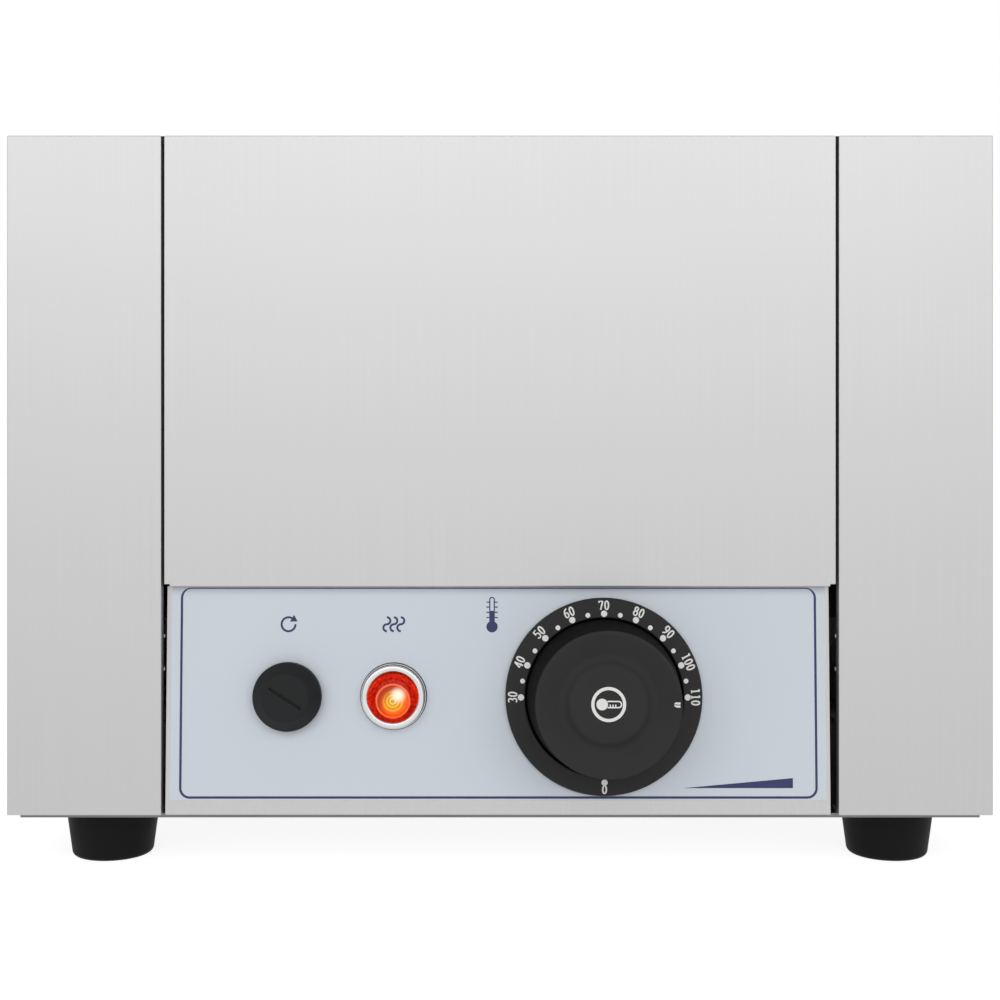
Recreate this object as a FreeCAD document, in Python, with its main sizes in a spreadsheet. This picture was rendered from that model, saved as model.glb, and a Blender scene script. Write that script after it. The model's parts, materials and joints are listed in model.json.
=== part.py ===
"""A countertop electric food warmer: one full-size wet well in a folded stainless casing.

Frame: +X right, +Y to the rear, +Z up, origin on the floor under the middle of the casing.
Lengths are in millimetres and angles in degrees.
"""
import FreeCAD, Part
import math
import os
import re
import Sketcher

Vector = FreeCAD.Vector
Rotation = FreeCAD.Rotation
Placement = FreeCAD.Placement

SIZES = {
    # Casing of folded sheet
    "casing_width": 338,
    "casing_depth": 540,
    "casing_height": 252,
    "gauge": 1.0,
    "fold_radius": 0.4,
    "return_width": 52.9,
    "return_fold": 4,
    "lip_width": 15,
    "bottom_lip": 12,
    "seam_gap": 0.95,
    "corner_relief": 2,
    "corner_relief_height": 0.9,
    "lip_reveal": 2,
    "apron_clearance": 4.05,
    "flange_notch": 0.3,
    # Ventilation slots
    "vent_length": 40,
    "vent_width": 2,
    "vent_rows": 3,
    "vent_columns": 3,
    "vent_row_pitch": 16.5,
    "vent_column_pitch": 58,
    "vent_lowest": 37,
    # Base plate and feet
    "base_thickness": 1.5,
    "base_inset": 3.5,
    "base_vent_length": 60,
    "base_vent_pitch": 30,
    "base_vent_rows": 5,
    "base_vent_offset": 55,
    "foot_height": 17.5,
    "foot_top": 32.7,
    "foot_bottom": 28,
    "foot_rounding": 2,
    "foot_inset_side": 30,
    "foot_inset_front": 25,
    "foot_recess_gap": 1.75,
    "foot_recess_depth": 9,
    "foot_bolt": 5,
    "foot_bolt_tail": 3,
    "foot_bolt_head": 9.5,
    "foot_bolt_head_height": 3.5,
    "foot_nut_wall": 1.5,
    "foot_nut_height": 4,
    "side_screw_pitch": 190,
    "base_screw_edge": 4,
    "rear_screw_offset": 60,
    # Tank: a flange under the lips and the well drawn down from it
    "well_depth": 150,
    "well_corner": 28,
    "well_floor_radius": 10,
    "well_rim_radius": 3,
    "tank_clearance": 0.3,
    # Control panel and label
    "panel_gap_left": 1.3,
    "panel_gap_right": 2.7,
    "panel_recess": 0.6,
    "panel_lean": 2.5,
    "panel_head": 14,
    "panel_foot": 26,
    "panel_screw_edge": 8,
    "panel_screw_inset": 33.4,
    "top_screw_inset": 21.4,
    "label_thickness": 0.3,
    "label_margin_left": 1.6,
    "label_margin_right": 1.33,
    "label_bottom": 5,
    "label_top": 0.15,
    "control_height": 59.6,
    # Thermostat, dial and knob
    "dial_x": 35.6,
    "dial_face_width": 6.75,
    "knob_clearance": 0.6,
    "dial_ring_edge": 2.7,
    "dial_ring_height": 4.5,
    "dial_floor": 1.5,
    "dial_edge_rounding": 0.9,
    "dial_crest_rounding": 0.45,
    "bush": 10,
    "bush_length": 2.6,
    "shaft": 6,
    "shaft_flat": 2,
    "shaft_reach": 18,
    "shaft_depth": 12,
    "fixing_pitch": 28,
    "knob_skirt": 52.8,
    "knob_taper": 2.3,
    "knob_bottom": 3,
    "knob_top": 26,
    "knob_wall": 2,
    "knob_rim_width": 1.2,
    "knob_valley_depth": 3.2,
    "knob_boss": 25.2,
    "knob_boss_slope": 2.6,
    "knob_boss_drop": 1.4,
    "knob_valley_rounding": 3.2,
    "knob_boss_rounding": 2,
    "knob_rim_rounding": 0.6,
    "knob_hub": 14,
    "knob_hub_gap": 0.8,
    "clip_gauge": 0.6,
    "clip_height": 5,
    "clip_opening": 60,
    "thermostat_width": 44,
    "thermostat_height": 34,
    "thermostat_depth": 29.5,
    "bracket_width": 50,
    "bracket_gauge": 1.5,
    # Pilot lamp
    "lamp_x": -36.6,
    "lamp_bezel_width": 2.6,
    "lamp_bezel_height": 4,
    "lamp_window": 17.8,
    "lamp_barrel": 13,
    "lamp_barrel_wall": 1.3,
    "lamp_barrel_depth": 18,
    "lamp_seat": 1,
    "lamp_edge_rounding": 0.6,
    "lens_rings": 3,
    "lens_ring_pitch": 0.95,
    "lens_ring_depth": 0.45,
    "lens_height": 2.5,
    "neon": 5.2,
    "neon_rounding": 1.7,
    "neon_length": 13,
    "lamp_nut_wall": 2.5,
    "lamp_nut_height": 4,
    # Over-temperature limiter and its reset
    "reset_x": -72.9,
    "neck": 10,
    "neck_reach": 5.6,
    "neck_nut_wall": 2,
    "neck_nut_height": 2,
    "reset_button": 5,
    "reset_button_proud": 0.5,
    "reset_button_depth": 3,
    "reset_button_rounding": 0.4,
    "reset_travel": 2,
    "reset_nut_gap": 1.3,
    "reset_cap_wall": 2.37,
    "reset_cap_edge": 2.9,
    "reset_cap_top": 15.8,
    "reset_cap_air": 0.4,
    "reset_cap_roof": 1.5,
    "reset_cap_rounding": 0.9,
    "reset_slot_length": 12.9,
    "reset_slot_width": 1,
    "reset_slot_depth": 0.8,
    "reset_slot_fall": 33,
    "reset_seal_inset": 0.25,
    "reset_seal_gauge": 0.8,
    "limiter_width": 36,
    "limiter_height": 30,
    "limiter_depth": 30,
    # Spade terminals
    "tab_width": 6.3,
    "tab_gauge": 0.8,
    "tab_length": 8,
    "thermostat_tab": 10,
    "limiter_tab": 8,
    "lamp_tab": 3,
    "lamp_tab_width": 2.8,
    "lamp_feed_rise": 8,
    # Heating element, clamps and shield under the tank
    "element_tube": 8,
    "element_side_inset": 33,
    "element_front_inset": 35,
    "element_rear_inset": 55,
    "element_drop_bend": 15,
    "element_drop": 10,
    "element_pin": 4,
    "element_pin_length": 8,
    "clamp_front": -40,
    "clamp_rear": 110,
    "clamp_overhang": 20,
    "clamp_width": 16,
    "clamp_gauge": 1.5,
    "clamp_stud_length": 16,
    "stud": 4,
    "stud_nut": 7,
    "stud_nut_height": 3.2,
    "shield_side_inset": 14,
    "shield_front_inset": 68,
    "shield_rear_inset": 28,
    "shield_depth": 22,
    "shield_gauge": 0.8,
    "shield_stud_side_inset": 12,
    "shield_stud_front_inset": 65,
    "shield_stud_rear_inset": 20,
    "shield_tail": 6,
    "pin_hole": 14,
    # Bulbs of the two capillary controls
    "probe": 6,
    "probe_length": 80,
    "probe_start": 30,
    "probe_inset": 51,
    "capillary": 1.6,
    "capillary_lane": 8,
    "capillary_exit_depth": 20,
    "thermostat_exit": 16,
    "thermostat_rise": 12,
    "limiter_exit": 12,
    "limiter_rise": 9.6,
    "capillary_bend": 6,
    "probe_clip_width": 10,
    "probe_clip_wall": 1,
    "probe_clip_inset": 16,
    # Supply: gland, terminal block, earth and wires
    "gland_x": -72,
    "gland_z": 52,
    "gland_thread": 20,
    "gland_shoulder": 2,
    "gland_hex": 6,
    "gland_collar_step": 0.5,
    "gland_collar_length": 8,
    "gland_thread_length": 12,
    "gland_wall": 3,
    "gland_dome": 17,
    "gland_dome_wall": 1.6,
    "gland_dome_rounding": 1.3,
    "gland_mouth_gap": 1,
    "gland_nut_height": 5,
    "cable_bore": 9,
    "seal_length": 11,
    "terminal_inset": 75,
    "terminal_pitch": 18,
    "terminal_end": 1,
    "terminal_depth": 26,
    "terminal_height": 20,
    "terminal_screw": 4,
    "terminal_screw_head": 5,
    "terminal_screw_head_height": 1.5,
    "terminal_screw_length": 5,
    "terminal_well": 7,
    "earth_x": 0,
    "earth_gap": 35,
    "earth_bolt": 5,
    "earth_length": 16,
    "earth_nut": 8,
    "earth_nut_height": 4,
    "wire": 2.4,
    "lamp_wire": 1.8,
    "wire_bend": 6,
    "wire_lane": 15,
    "heater_wire_lane": 30,
    "neutral_wire_lane": 45,
    "lamp_wire_lane": 9,
    "lamp_wire_offset": 4.8,
    "wire_level": 29,
    "lamp_wire_level": 23,
    # Fasteners and fits
    "screw": 4,
    "screw_head": 7.4,
    "screw_head_height": 2.6,
    "screw_length": 8,
    "head_flat_share": 0.33,
    "cross_arm_share": 0.28,
    "cross_half_share": 0.07,
    "screw_nut": 7,
    "screw_nut_height": 3.2,
    "screw_clearance": 0.2,
    "nut_clearance": 0.05,
    "running_fit": 0.05,
    "assembly_gap": 0.2,
}

LEVELS = {
    # Casing and tank
    "half_width": "casing_width / 2",
    "half_depth": "casing_depth / 2",
    "panel_bottom": "foot_height + base_thickness",
    "lip_under": "casing_height - gauge",
    "flange_under": "casing_height - 2 * gauge",
    "return_edge": "half_width - return_width",
    "apron_edge": "return_edge - seam_gap",
    "well_width": "casing_width - 2 * (lip_width + lip_reveal)",
    "well_length": "casing_depth - 2 * (lip_width + lip_reveal)",
    "well_floor": "lip_under - well_depth",
    "tank_under": "flange_under - well_depth",
    # Feet and casing screws
    "foot_x": "half_width - foot_inset_side",
    "foot_y": "half_depth - foot_inset_front",
    "foot_recess": "foot_bolt_head + 2 * foot_recess_gap",
    "foot_bolt_length": "panel_bottom - foot_recess_depth + foot_nut_height + foot_bolt_tail",
    "foot_nut": "foot_bolt + 2 * foot_nut_wall",
    "screw_hole": "screw / 2 + screw_clearance",
    "side_screw_x": "half_width - bottom_lip + base_screw_edge",
    "rear_screw_y": "half_depth - bottom_lip + base_screw_edge",
    # Dial, knob and the opening under the apron
    "dial_ring_bore": "knob_skirt + 2 * knob_clearance",
    "dial_ring": "dial_ring_bore + 2 * dial_face_width",
    "knob_rim": "knob_skirt - 2 * knob_taper",
    "knob_valley": "knob_boss + 2 * knob_boss_slope",
    "apron_bottom": "control_height + dial_ring / 2 + apron_clearance",
    # Control panel
    "lean_slope": "tan(panel_lean * 1deg)",
    "lean_cos": "cos(panel_lean * 1deg)",
    "lean_sin": "sin(panel_lean * 1deg)",
    "tilt": "90 - panel_lean",
    "panel_left": "return_edge - panel_gap_left",
    "panel_right": "return_edge - panel_gap_right",
    "panel_low_y": "panel_recess - half_depth",
    "panel_high_y": "panel_low_y + (apron_bottom - panel_bottom) * lean_slope",
    "control_face_y": "panel_low_y + (control_height - panel_bottom) * lean_slope",
    "front_screw_y": "panel_low_y + panel_foot - panel_screw_edge",
    "panel_screw_offset": "panel_right - panel_screw_inset",
    "top_screw_y": "(lip_width + panel_high_y - half_depth) / 2",
    "top_screw_offset": "panel_right - top_screw_inset",
    # Pilot lamp
    "lamp_bezel": "lamp_window + 2 * lamp_bezel_width",
    "lamp_barrel_bore": "lamp_barrel - 2 * lamp_barrel_wall",
    "lamp_nut_flats": "lamp_barrel + 2 * lamp_nut_wall",
    "lens": "lamp_window - 2 * assembly_gap",
    "lens_disc": "lens - 2 * lens_rings * lens_ring_pitch",
    # Reset
    "neck_nut_flats": "neck + 2 * neck_nut_wall",
    "reset_seal_bore": "neck_nut_flats / cos(30deg) + 2 * reset_nut_gap",
    "reset_cap": "reset_seal_bore + 2 * reset_cap_wall",
    "reset_seal": "reset_cap - 2 * reset_seal_inset",
    "cap_bottom": "label_thickness + reset_seal_gauge",
    "cap_ceiling": "neck_reach + reset_button_proud + reset_cap_air",
    "cap_top": "cap_ceiling + reset_cap_roof",
    "nut_space": "label_thickness + neck_nut_height + 3 * assembly_gap",
    # Heating and bulbs
    "shield_width": "well_width - 2 * shield_side_inset",
    "shield_front": "shield_front_inset - well_length / 2",
    "shield_rear": "well_length / 2 - shield_rear_inset",
    "shield_floor": "tank_under - shield_depth",
    "shield_stud_x": "shield_width / 2 - shield_stud_side_inset",
    "shield_stud_front": "shield_front + shield_stud_front_inset",
    "shield_stud_rear": "shield_rear - shield_stud_rear_inset",
    "element_outer": "shield_width / 2 - element_side_inset",
    "element_pitch": "element_outer / 1.5",
    "element_front": "shield_front + element_front_inset",
    "element_rear": "shield_rear - element_rear_inset",
    "clamp_top": "tank_under - element_tube",
    "clamp_length": "2 * (element_outer + clamp_overhang)",
    "probe_y": "probe_inset - well_length / 2",
    "probe_z": "tank_under - probe / 2",
    # Supply
    "gland_flats": "gland_thread + 2 * gland_shoulder",
    "gland_collar": "gland_thread + 2 * gland_collar_step",
    "gland_bore": "gland_thread - 2 * gland_wall",
    "gland_mouth": "cable_bore + 2 * gland_mouth_gap",
    "terminal_y": "half_depth - terminal_inset",
    "terminal_width": "3 * terminal_pitch + 2 * terminal_end",
    "earth_y": "terminal_y - earth_gap",
}

EDGE_TOLERANCE = 1e-4

doc = FreeCAD.newDocument("food_warmer")
sheet = doc.addObject("Spreadsheet::Sheet", "Sizes")
levels = doc.addObject("App::VarSet", "Levels")
gauge_block = doc.addObject("App::VarSet", "GaugeBlock")
gauge_block.addProperty("App::PropertyFloat", "reading")
nodes = []


def bound(formula):
    """The formula with each size's name written as its cell or level."""
    def owner(word):
        name = word.group(0)
        if name in SIZES:
            return "Sizes." + name
        return "Levels." + name if name in LEVELS else name
    return re.sub(r"[a-z][a-z_0-9]*", owner, formula)


def bind(thing, **formulas):
    """Bind properties to formulas; a double underscore in a name stands for a dot."""
    for name, formula in formulas.items():
        thing.setExpression(name.replace("__", "."), bound(formula))


def value(name):
    """The number that a size or level holds."""
    return float(sheet.get(name)) if name in SIZES else float(levels.getPropertyByName(name))


def number(formula):
    """The number that a formula of sizes comes to."""
    bind(gauge_block, reading=formula)
    gauge_block.recompute()
    return gauge_block.reading


def fill_sheet():
    for row, (name, number) in enumerate(SIZES.items(), 1):
        sheet.set(f"A{row}", name)
        sheet.set(f"B{row}", str(number))
        sheet.setAlias(f"B{row}", name)
    doc.recompute()
    for name, formula in LEVELS.items():
        levels.addProperty("App::PropertyFloat", name)
        bind(levels, **{name: formula})
    doc.recompute()


def node(label, thing):
    """Keep a finished sub-part under the label that names its file."""
    thing.Label = label
    nodes.append(thing)
    return thing


def place(thing, x="0", y="0", z="0", tilt=None):
    """Put a thing at a point, turned about X by a tilt."""
    if tilt:
        thing.Placement = Placement(Vector(), Rotation(Vector(1, 0, 0), 1))
        bind(thing, Placement__Rotation__Angle=tilt)
    bind(thing, Placement__Base__x=x, Placement__Base__y=y, Placement__Base__z=z)
    return thing


def on_panel(thing, x):
    """Put a control in the panel's frame: X right, Y up the panel, Z out of its face."""
    return place(thing, x, "control_face_y", "control_height", "tilt")


# Sketches and features of sheet and turned pieces

def new_body(label):
    return node(label, doc.addObject("PartDesign::Body", label))


def sketch(body, name, role="XY_Plane", offset="0"):
    plane = next(f for f in body.Origin.OriginFeatures if f.Role == role)
    drawing = body.newObject("Sketcher::SketchObject", f"{body.Name}_{name}")
    drawing.AttachmentSupport = (plane, [""])
    drawing.MapMode = "FlatFace"
    bind(drawing, AttachmentOffset__Base__z=offset)
    return drawing


def pin(drawing, geometry, point, x, y):
    """Hold a point of the drawing at formulas for its two coordinates."""
    for kind, formula in (("DistanceX", x), ("DistanceY", y)):
        index = drawing.addConstraint(Sketcher.Constraint(kind, geometry, point, number(formula)))
        drawing.setExpression(f"Constraints[{index}]", bound(formula))


def set_radius(drawing, geometry, radius):
    index = drawing.addConstraint(Sketcher.Constraint("Radius", geometry, number(radius)))
    drawing.setExpression(f"Constraints[{index}]", bound(radius))


def outline(drawing, points):
    """A closed outline of straight lines through points given as formulas."""
    first = drawing.GeometryCount
    count = len(points)
    corners = [Vector(number(x), number(y), 0) for x, y in points]
    for corner, following in zip(corners, corners[1:] + corners[:1]):
        drawing.addGeometry(Part.LineSegment(corner, following))
    for index in range(count):
        following = first + (index + 1) % count
        drawing.addConstraint(Sketcher.Constraint("Coincident", first + index, 2, following, 1))
    for index, (x, y) in enumerate(points):
        pin(drawing, first + index, 1, x, y)


def rectangle(drawing, left, right, low, high):
    outline(drawing, [(left, low), (right, low), (right, high), (left, high)])


def rounded_rectangle(drawing, half_x, half_y, radius):
    """A rectangle about the drawing's origin with round corners."""
    inner_x = f"({half_x} - ({radius}))"
    inner_y = f"({half_y} - ({radius}))"
    signs = [(1, 1), (-1, 1), (-1, -1), (1, -1)]
    arcs = [corner_arc(drawing, x * number(inner_x), y * number(inner_y), number(radius), turn, turn + 1)
            for turn, (x, y) in enumerate(signs)]
    join_arcs(drawing, arcs)
    for arc, (x, y) in zip(arcs, signs):
        set_radius(drawing, arc, radius)
        pin(drawing, arc, 3, f"{x} * {inner_x}", f"{y} * {inner_y}")


def corner_arc(drawing, x, y, radius, start, end):
    """An arc between two counts of quarter turns."""
    round_corner = Part.Circle(Vector(x, y, 0), Vector(0, 0, 1), radius)
    return drawing.addGeometry(Part.ArcOfCircle(round_corner, start * math.pi / 2, end * math.pi / 2))


def join_arcs(drawing, arcs):
    """Tangent lines from the end of each arc to the start of the next."""
    for arc, following in zip(arcs, arcs[1:] + arcs[:1]):
        start = drawing.getPoint(arc, 2)
        end = drawing.getPoint(following, 1)
        line = drawing.addGeometry(Part.LineSegment(start, end))
        drawing.addConstraint(Sketcher.Constraint("Tangent", arc, 2, line, 1))
        drawing.addConstraint(Sketcher.Constraint("Tangent", line, 2, following, 1))


def circle(drawing, x, y, radius):
    middle = Vector(number(x), number(y), 0)
    round_hole = drawing.addGeometry(Part.Circle(middle, Vector(0, 0, 1), number(radius)))
    pin(drawing, round_hole, 3, x, y)
    set_radius(drawing, round_hole, radius)


def slot(drawing, x, y, length, width):
    """A slot with round ends, lying along the drawing's first axis."""
    radius = f"{width} / 2"
    right_x = f"{x} + {length} / 2 - {radius}"
    left_x = f"{x} - {length} / 2 + {radius}"
    right = corner_arc(drawing, number(right_x), number(y), number(radius), -1, 1)
    left = corner_arc(drawing, number(left_x), number(y), number(radius), 1, 3)
    join_arcs(drawing, [right, left])
    drawing.addConstraint(Sketcher.Constraint("Equal", right, left))
    set_radius(drawing, right, radius)
    pin(drawing, right, 3, right_x, y)
    pin(drawing, left, 3, left_x, y)


def pad(body, drawing, length):
    feature = body.newObject("PartDesign::Pad", f"{drawing.Name}_pad")
    feature.Profile = drawing
    bind(feature, Length=length)
    doc.recompute()
    return feature


def pocket(body, drawing, depth, side="One side"):
    """Cut downwards from the drawing, or both ways, and make sure that something was cut."""
    before = body.Shape.Volume
    feature = body.newObject("PartDesign::Pocket", f"{drawing.Name}_pocket")
    feature.Profile = drawing
    feature.SideType = side
    bind(feature, Length=depth)
    doc.recompute()
    if not body.Shape.Volume < before:
        raise RuntimeError(f"{feature.Name} cuts nothing")
    return feature


def repeat_up(body, feature, drawing, count, pitch):
    """Repeat a cut along the drawing's second axis."""
    before = body.Shape.Volume
    pattern = body.newObject("PartDesign::LinearPattern", f"{drawing.Name}_rows")
    pattern.Originals = [feature]
    pattern.Direction = (drawing, ["V_Axis"])
    bind(pattern, Length=f"({count} - 1) * {pitch}", Occurrences=count)
    body.Tip = pattern
    doc.recompute()
    if not body.Shape.Volume < before:
        raise RuntimeError(f"{pattern.Name} cuts nothing")


def revolve(body, points, name="profile"):
    """Turn an outline of radius and height formulas about the body's Z axis."""
    drawing = sketch(body, name, "XZ_Plane")
    outline(drawing, points)
    feature = body.newObject("PartDesign::Revolution", f"{drawing.Name}_turned")
    feature.Profile = drawing
    feature.ReferenceAxis = (drawing, ["V_Axis"])
    feature.Angle = 360
    doc.recompute()
    return feature


def round_edges(body, radius, wanted):
    """Round the edges of the body that the test picks by their bounding boxes."""
    base = body.Tip
    edges = [f"Edge{i}" for i, edge in enumerate(base.Shape.Edges, 1) if wanted(edge.BoundBox)]
    if not edges:
        raise RuntimeError(f"{body.Name} has no such edge to round")
    feature = body.newObject("PartDesign::Fillet", f"{body.Name}_round")
    feature.Base = (base, edges)
    bind(feature, Radius=radius)
    doc.recompute()
    if "Invalid" in feature.State:
        raise RuntimeError(f"{feature.Name} can't be rounded by {radius}")


def near(first, second):
    return abs(first - second) < EDGE_TOLERANCE


def ring_edge(radius, height):
    """A test for the round edge of a turned piece at a radius and height."""
    def wanted(box):
        return near(box.ZMin, height) and near(box.ZMax, height) and near(box.XMax, radius)
    return wanted


def cut_box(body, name, x, y, top, depth):
    """Cut a box-shaped space, given by its X and Y spans, its top level and its depth."""
    drawing = sketch(body, name, offset=top)
    rectangle(drawing, *x, *y)
    return pocket(body, drawing, depth)


# Blocks, rods and groups

def block(name, x, y, z, length, width, height):
    """A box from its low corner and its three sizes."""
    thing = doc.addObject("Part::Box", name)
    bind(thing, Length=length, Width=width, Height=height)
    return place(thing, x, y, z)


def rod(name, radius, length, x="0", y="0", z="0", along="Z"):
    """A round bar from the middle of its first end."""
    thing = doc.addObject("Part::Cylinder", name)
    bind(thing, Radius=radius, Height=length)
    turns = {"X": Rotation(Vector(0, 1, 0), 90), "Y": Rotation(Vector(1, 0, 0), -90)}
    if along in turns:
        thing.Placement = Placement(Vector(), turns[along])
    return place(thing, x, y, z)


def hexagon(name, flats, height, x="0", y="0", z="0"):
    thing = doc.addObject("Part::Prism", name)
    thing.Polygon = 6
    bind(thing, Circumradius=f"{flats} / 2 / cos(30deg)", Height=height)
    return place(thing, x, y, z)


def joined(name, things):
    thing = doc.addObject("Part::MultiFuse", name)
    thing.Shapes = things
    thing.Refine = True
    return thing


def trimmed(name, base, tools):
    """The base with the tools cut out of it."""
    thing = doc.addObject("Part::Cut", name)
    thing.Base = base
    thing.Tool = tools[0] if len(tools) == 1 else joined(f"{name}_tools", tools)
    doc.recompute()
    if not thing.Shape.Volume < base.Shape.Volume:
        raise RuntimeError(f"{name} cuts nothing")
    return thing


def group(label, things):
    thing = doc.addObject("Part::Compound", label)
    thing.Links = things
    return node(label, thing)


def copies(label, template, spots, tilt=None):
    """Like pieces of one template, each at its own spot, kept as one group."""
    links = []
    for index, spot in enumerate(spots):
        link = doc.addObject("App::Link", f"{label}_{index}")
        link.LinkedObject = template
        links.append(place(link, *spot, tilt))
    return group(label, links)


def nut(name, flats, height, thread):
    """A plain hexagon nut standing on its Z origin."""
    hole = rod(f"{name}_hole", f"{thread} / 2 + nut_clearance", height)
    return trimmed(name, hexagon(f"{name}_blank", flats, height), [hole])


def pan_screw(name, thread, length, head, head_height):
    """A cross-head screw whose head stands on its Z origin and whose thread points down."""
    body = doc.addObject("PartDesign::Body", name)
    revolve(body, [("0", f"-{length}"), (f"{thread} / 2", f"-{length}"), (f"{thread} / 2", "0"),
                   (f"{head} / 2", "0"), (f"{head} / 2", f"{head_height} / 2"),
                   (f"{head} * head_flat_share", head_height), ("0", head_height)])
    cross = sketch(body, "cross", offset=head_height)
    arm = f"{head} * cross_arm_share"
    half = f"{head} * cross_half_share"
    outline(cross, [(f"-{arm}", f"-{half}"), (f"-{half}", f"-{half}"), (f"-{half}", f"-{arm}"),
                    (half, f"-{arm}"), (half, f"-{half}"), (arm, f"-{half}"),
                    (arm, half), (half, half), (half, arm),
                    (f"-{half}", arm), (f"-{half}", half), (f"-{arm}", half)])
    pocket(body, cross, f"{head_height} / 2")
    return body


# Tubes along straight runs with round bends

def rounded_path(points, bend):
    """A path through the points whose corners are arcs of one bend radius."""
    edges = []
    start = points[0]
    for before, corner, after in zip(points, points[1:], points[2:]):
        back = (before - corner).normalize()
        ahead = (after - corner).normalize()
        half = back.getAngle(ahead) / 2
        reach = bend / math.tan(half)
        into = corner + back * reach
        out = corner + ahead * reach
        inward = (back + ahead).normalize()
        middle = corner + inward * (bend / math.sin(half) - bend)
        edges.append(Part.LineSegment(start, into).toShape())
        edges.append(Part.Arc(into, middle, out).toShape())
        start = out
    edges.append(Part.LineSegment(start, points[-1]).toShape())
    return Part.Wire(edges)


def tube(path, radius):
    """A round solid along a path, checked by its section times its length."""
    start = path.Edges[0]
    direction = start.tangentAt(start.FirstParameter)
    section = Part.Wire(Part.Circle(start.valueAt(start.FirstParameter), direction, radius).toShape())
    solid = path.makePipeShell([section], True, False)
    wanted = math.pi * radius ** 2 * path.Length
    if abs(solid.Volume - wanted) > 0.01 * wanted:
        raise RuntimeError("a tube's volume differs from its section times its length")
    return solid


def set_shape(label, shape):
    thing = doc.addObject("Part::Feature", label)
    thing.Shape = shape
    thing.Placement = Placement()
    return node(label, thing)


def panel_point(x, up, out):
    """A world point from a place on the control panel at the controls' height."""
    return Vector(x,
                  value("control_face_y") + up * value("lean_sin") - out * value("lean_cos"),
                  value("control_height") + up * value("lean_cos") + out * value("lean_sin"))


# Casing

def base_screw_spots(z):
    """Where the casing is screwed to the base plate, at a level."""
    spots = []
    for side in ("-", ""):
        for along in ("-side_screw_pitch", "0", "side_screw_pitch"):
            spots.append((f"{side}side_screw_x", along, z))
        spots.append((f"{side}rear_screw_offset", "rear_screw_y", z))
        spots.append((f"{side}panel_screw_offset", "front_screw_y", z))
    return spots


def lip_holes(body, spots):
    """Holes in a bottom lip for the casing screws."""
    drawing = sketch(body, "lip_holes", offset="panel_bottom + gauge")
    for x, y, _ in spots:
        circle(drawing, x, y, "screw_hole")
    pocket(body, drawing, "gauge")


def side_panel(label, side):
    """A side wall with front and rear returns, folded edges and top and bottom lips."""
    body = new_body(label)

    def across(wall, edge):
        """An X span from near the wall to near the returns' edge, on this side."""
        return (wall, edge) if side > 0 else (f"-({wall})", f"-({edge})")

    plan = sketch(body, "plan", offset="panel_bottom")
    rectangle(plan, *across("half_width", "return_edge"), "-half_depth", "half_depth")
    pad(body, plan, "casing_height - panel_bottom")
    gauge = value("gauge")
    round_edges(body, "fold_radius", lambda box: box.ZLength > gauge)
    round_edges(body, "fold_radius", lambda box: box.ZLength < gauge)
    inner_y = "(half_depth - gauge)"
    fold_y = "(half_depth - return_fold)"
    top_y = "(half_depth - lip_width)"
    low_y = "(half_depth - bottom_lip)"
    inside = "lip_under - panel_bottom - gauge"
    cut_box(body, "cavity", across("half_width - gauge", "return_edge + gauge"),
            (f"-{inner_y}", inner_y), "lip_under", inside)
    cut_box(body, "mouth", across("return_edge + gauge", "return_edge"),
            (f"-{fold_y}", fold_y), "lip_under", inside)
    cut_box(body, "top_window", across("half_width - lip_width", "return_edge"),
            (f"-{top_y}", top_y), "casing_height", "gauge")
    cut_box(body, "bottom_window", across("half_width - bottom_lip", "return_edge"),
            (f"-{low_y}", low_y), "panel_bottom + gauge", "gauge")
    cut_box(body, "flange_notch", across("return_edge + gauge", "return_edge"),
            (f"-{inner_y}", inner_y), "lip_under", "gauge + flange_notch")
    vents = sketch(body, "vents", "YZ_Plane", "half_width" if side > 0 else "gauge - half_width")
    for column in range(int(value("vent_columns"))):
        shift = f"({column} - (vent_columns - 1) / 2)"
        slot(vents, f"{shift} * vent_column_pitch", "vent_lowest", "vent_length", "vent_width")
    repeat_up(body, pocket(body, vents, "gauge"), vents, "vent_rows", "vent_row_pitch")
    sign = "" if side > 0 else "-"
    lip_holes(body, [spot for spot in base_screw_spots("0") if spot[0] == f"{sign}side_screw_x"])


def flanged_panel(label, side, low):
    """A panel between the returns, with flanges turned in on its four edges."""
    body = new_body(label)
    outer = f"{side}half_depth"
    plan = sketch(body, "plan", offset=low)
    across = ("-apron_edge", "apron_edge")
    span = (outer, f"{side}(half_depth - lip_width)")
    rectangle(plan, *across, *span)
    pad(body, plan, f"casing_height - ({low})")
    face = value("half_depth") * (-1 if side == "-" else 1)

    def on_face(box):
        return near(box.YMin, face) and near(box.YMax, face)

    gauge = value("gauge")
    round_edges(body, "fold_radius", lambda box: on_face(box) and box.ZLength > gauge)
    round_edges(body, "fold_radius", lambda box: on_face(box) and box.ZLength < gauge)
    inner = f"{side}(half_depth - gauge)"
    cut_box(body, "inside", ("gauge - apron_edge", "apron_edge - gauge"), (inner, span[1]),
            "lip_under", f"lip_under - ({low}) - gauge")
    cut_box(body, "flange_notch", across, (inner, span[1]), "lip_under", "gauge + flange_notch")
    return body


def front_apron():
    body = flanged_panel("front_apron", "-", "apron_bottom")
    holes = sketch(body, "screw_holes", offset="apron_bottom + gauge")
    for side in ("-", ""):
        circle(holes, f"{side}top_screw_offset", "top_screw_y", "screw_hole")
    pocket(body, holes, "gauge")
    for name, side in (("left", "-"), ("right", "")):
        cut_box(body, f"{name}_relief", (f"{side}apron_edge", f"{side}(apron_edge - corner_relief)"),
                ("-half_depth", "lip_width - half_depth"), "apron_bottom + corner_relief_height",
                "corner_relief_height")


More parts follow.
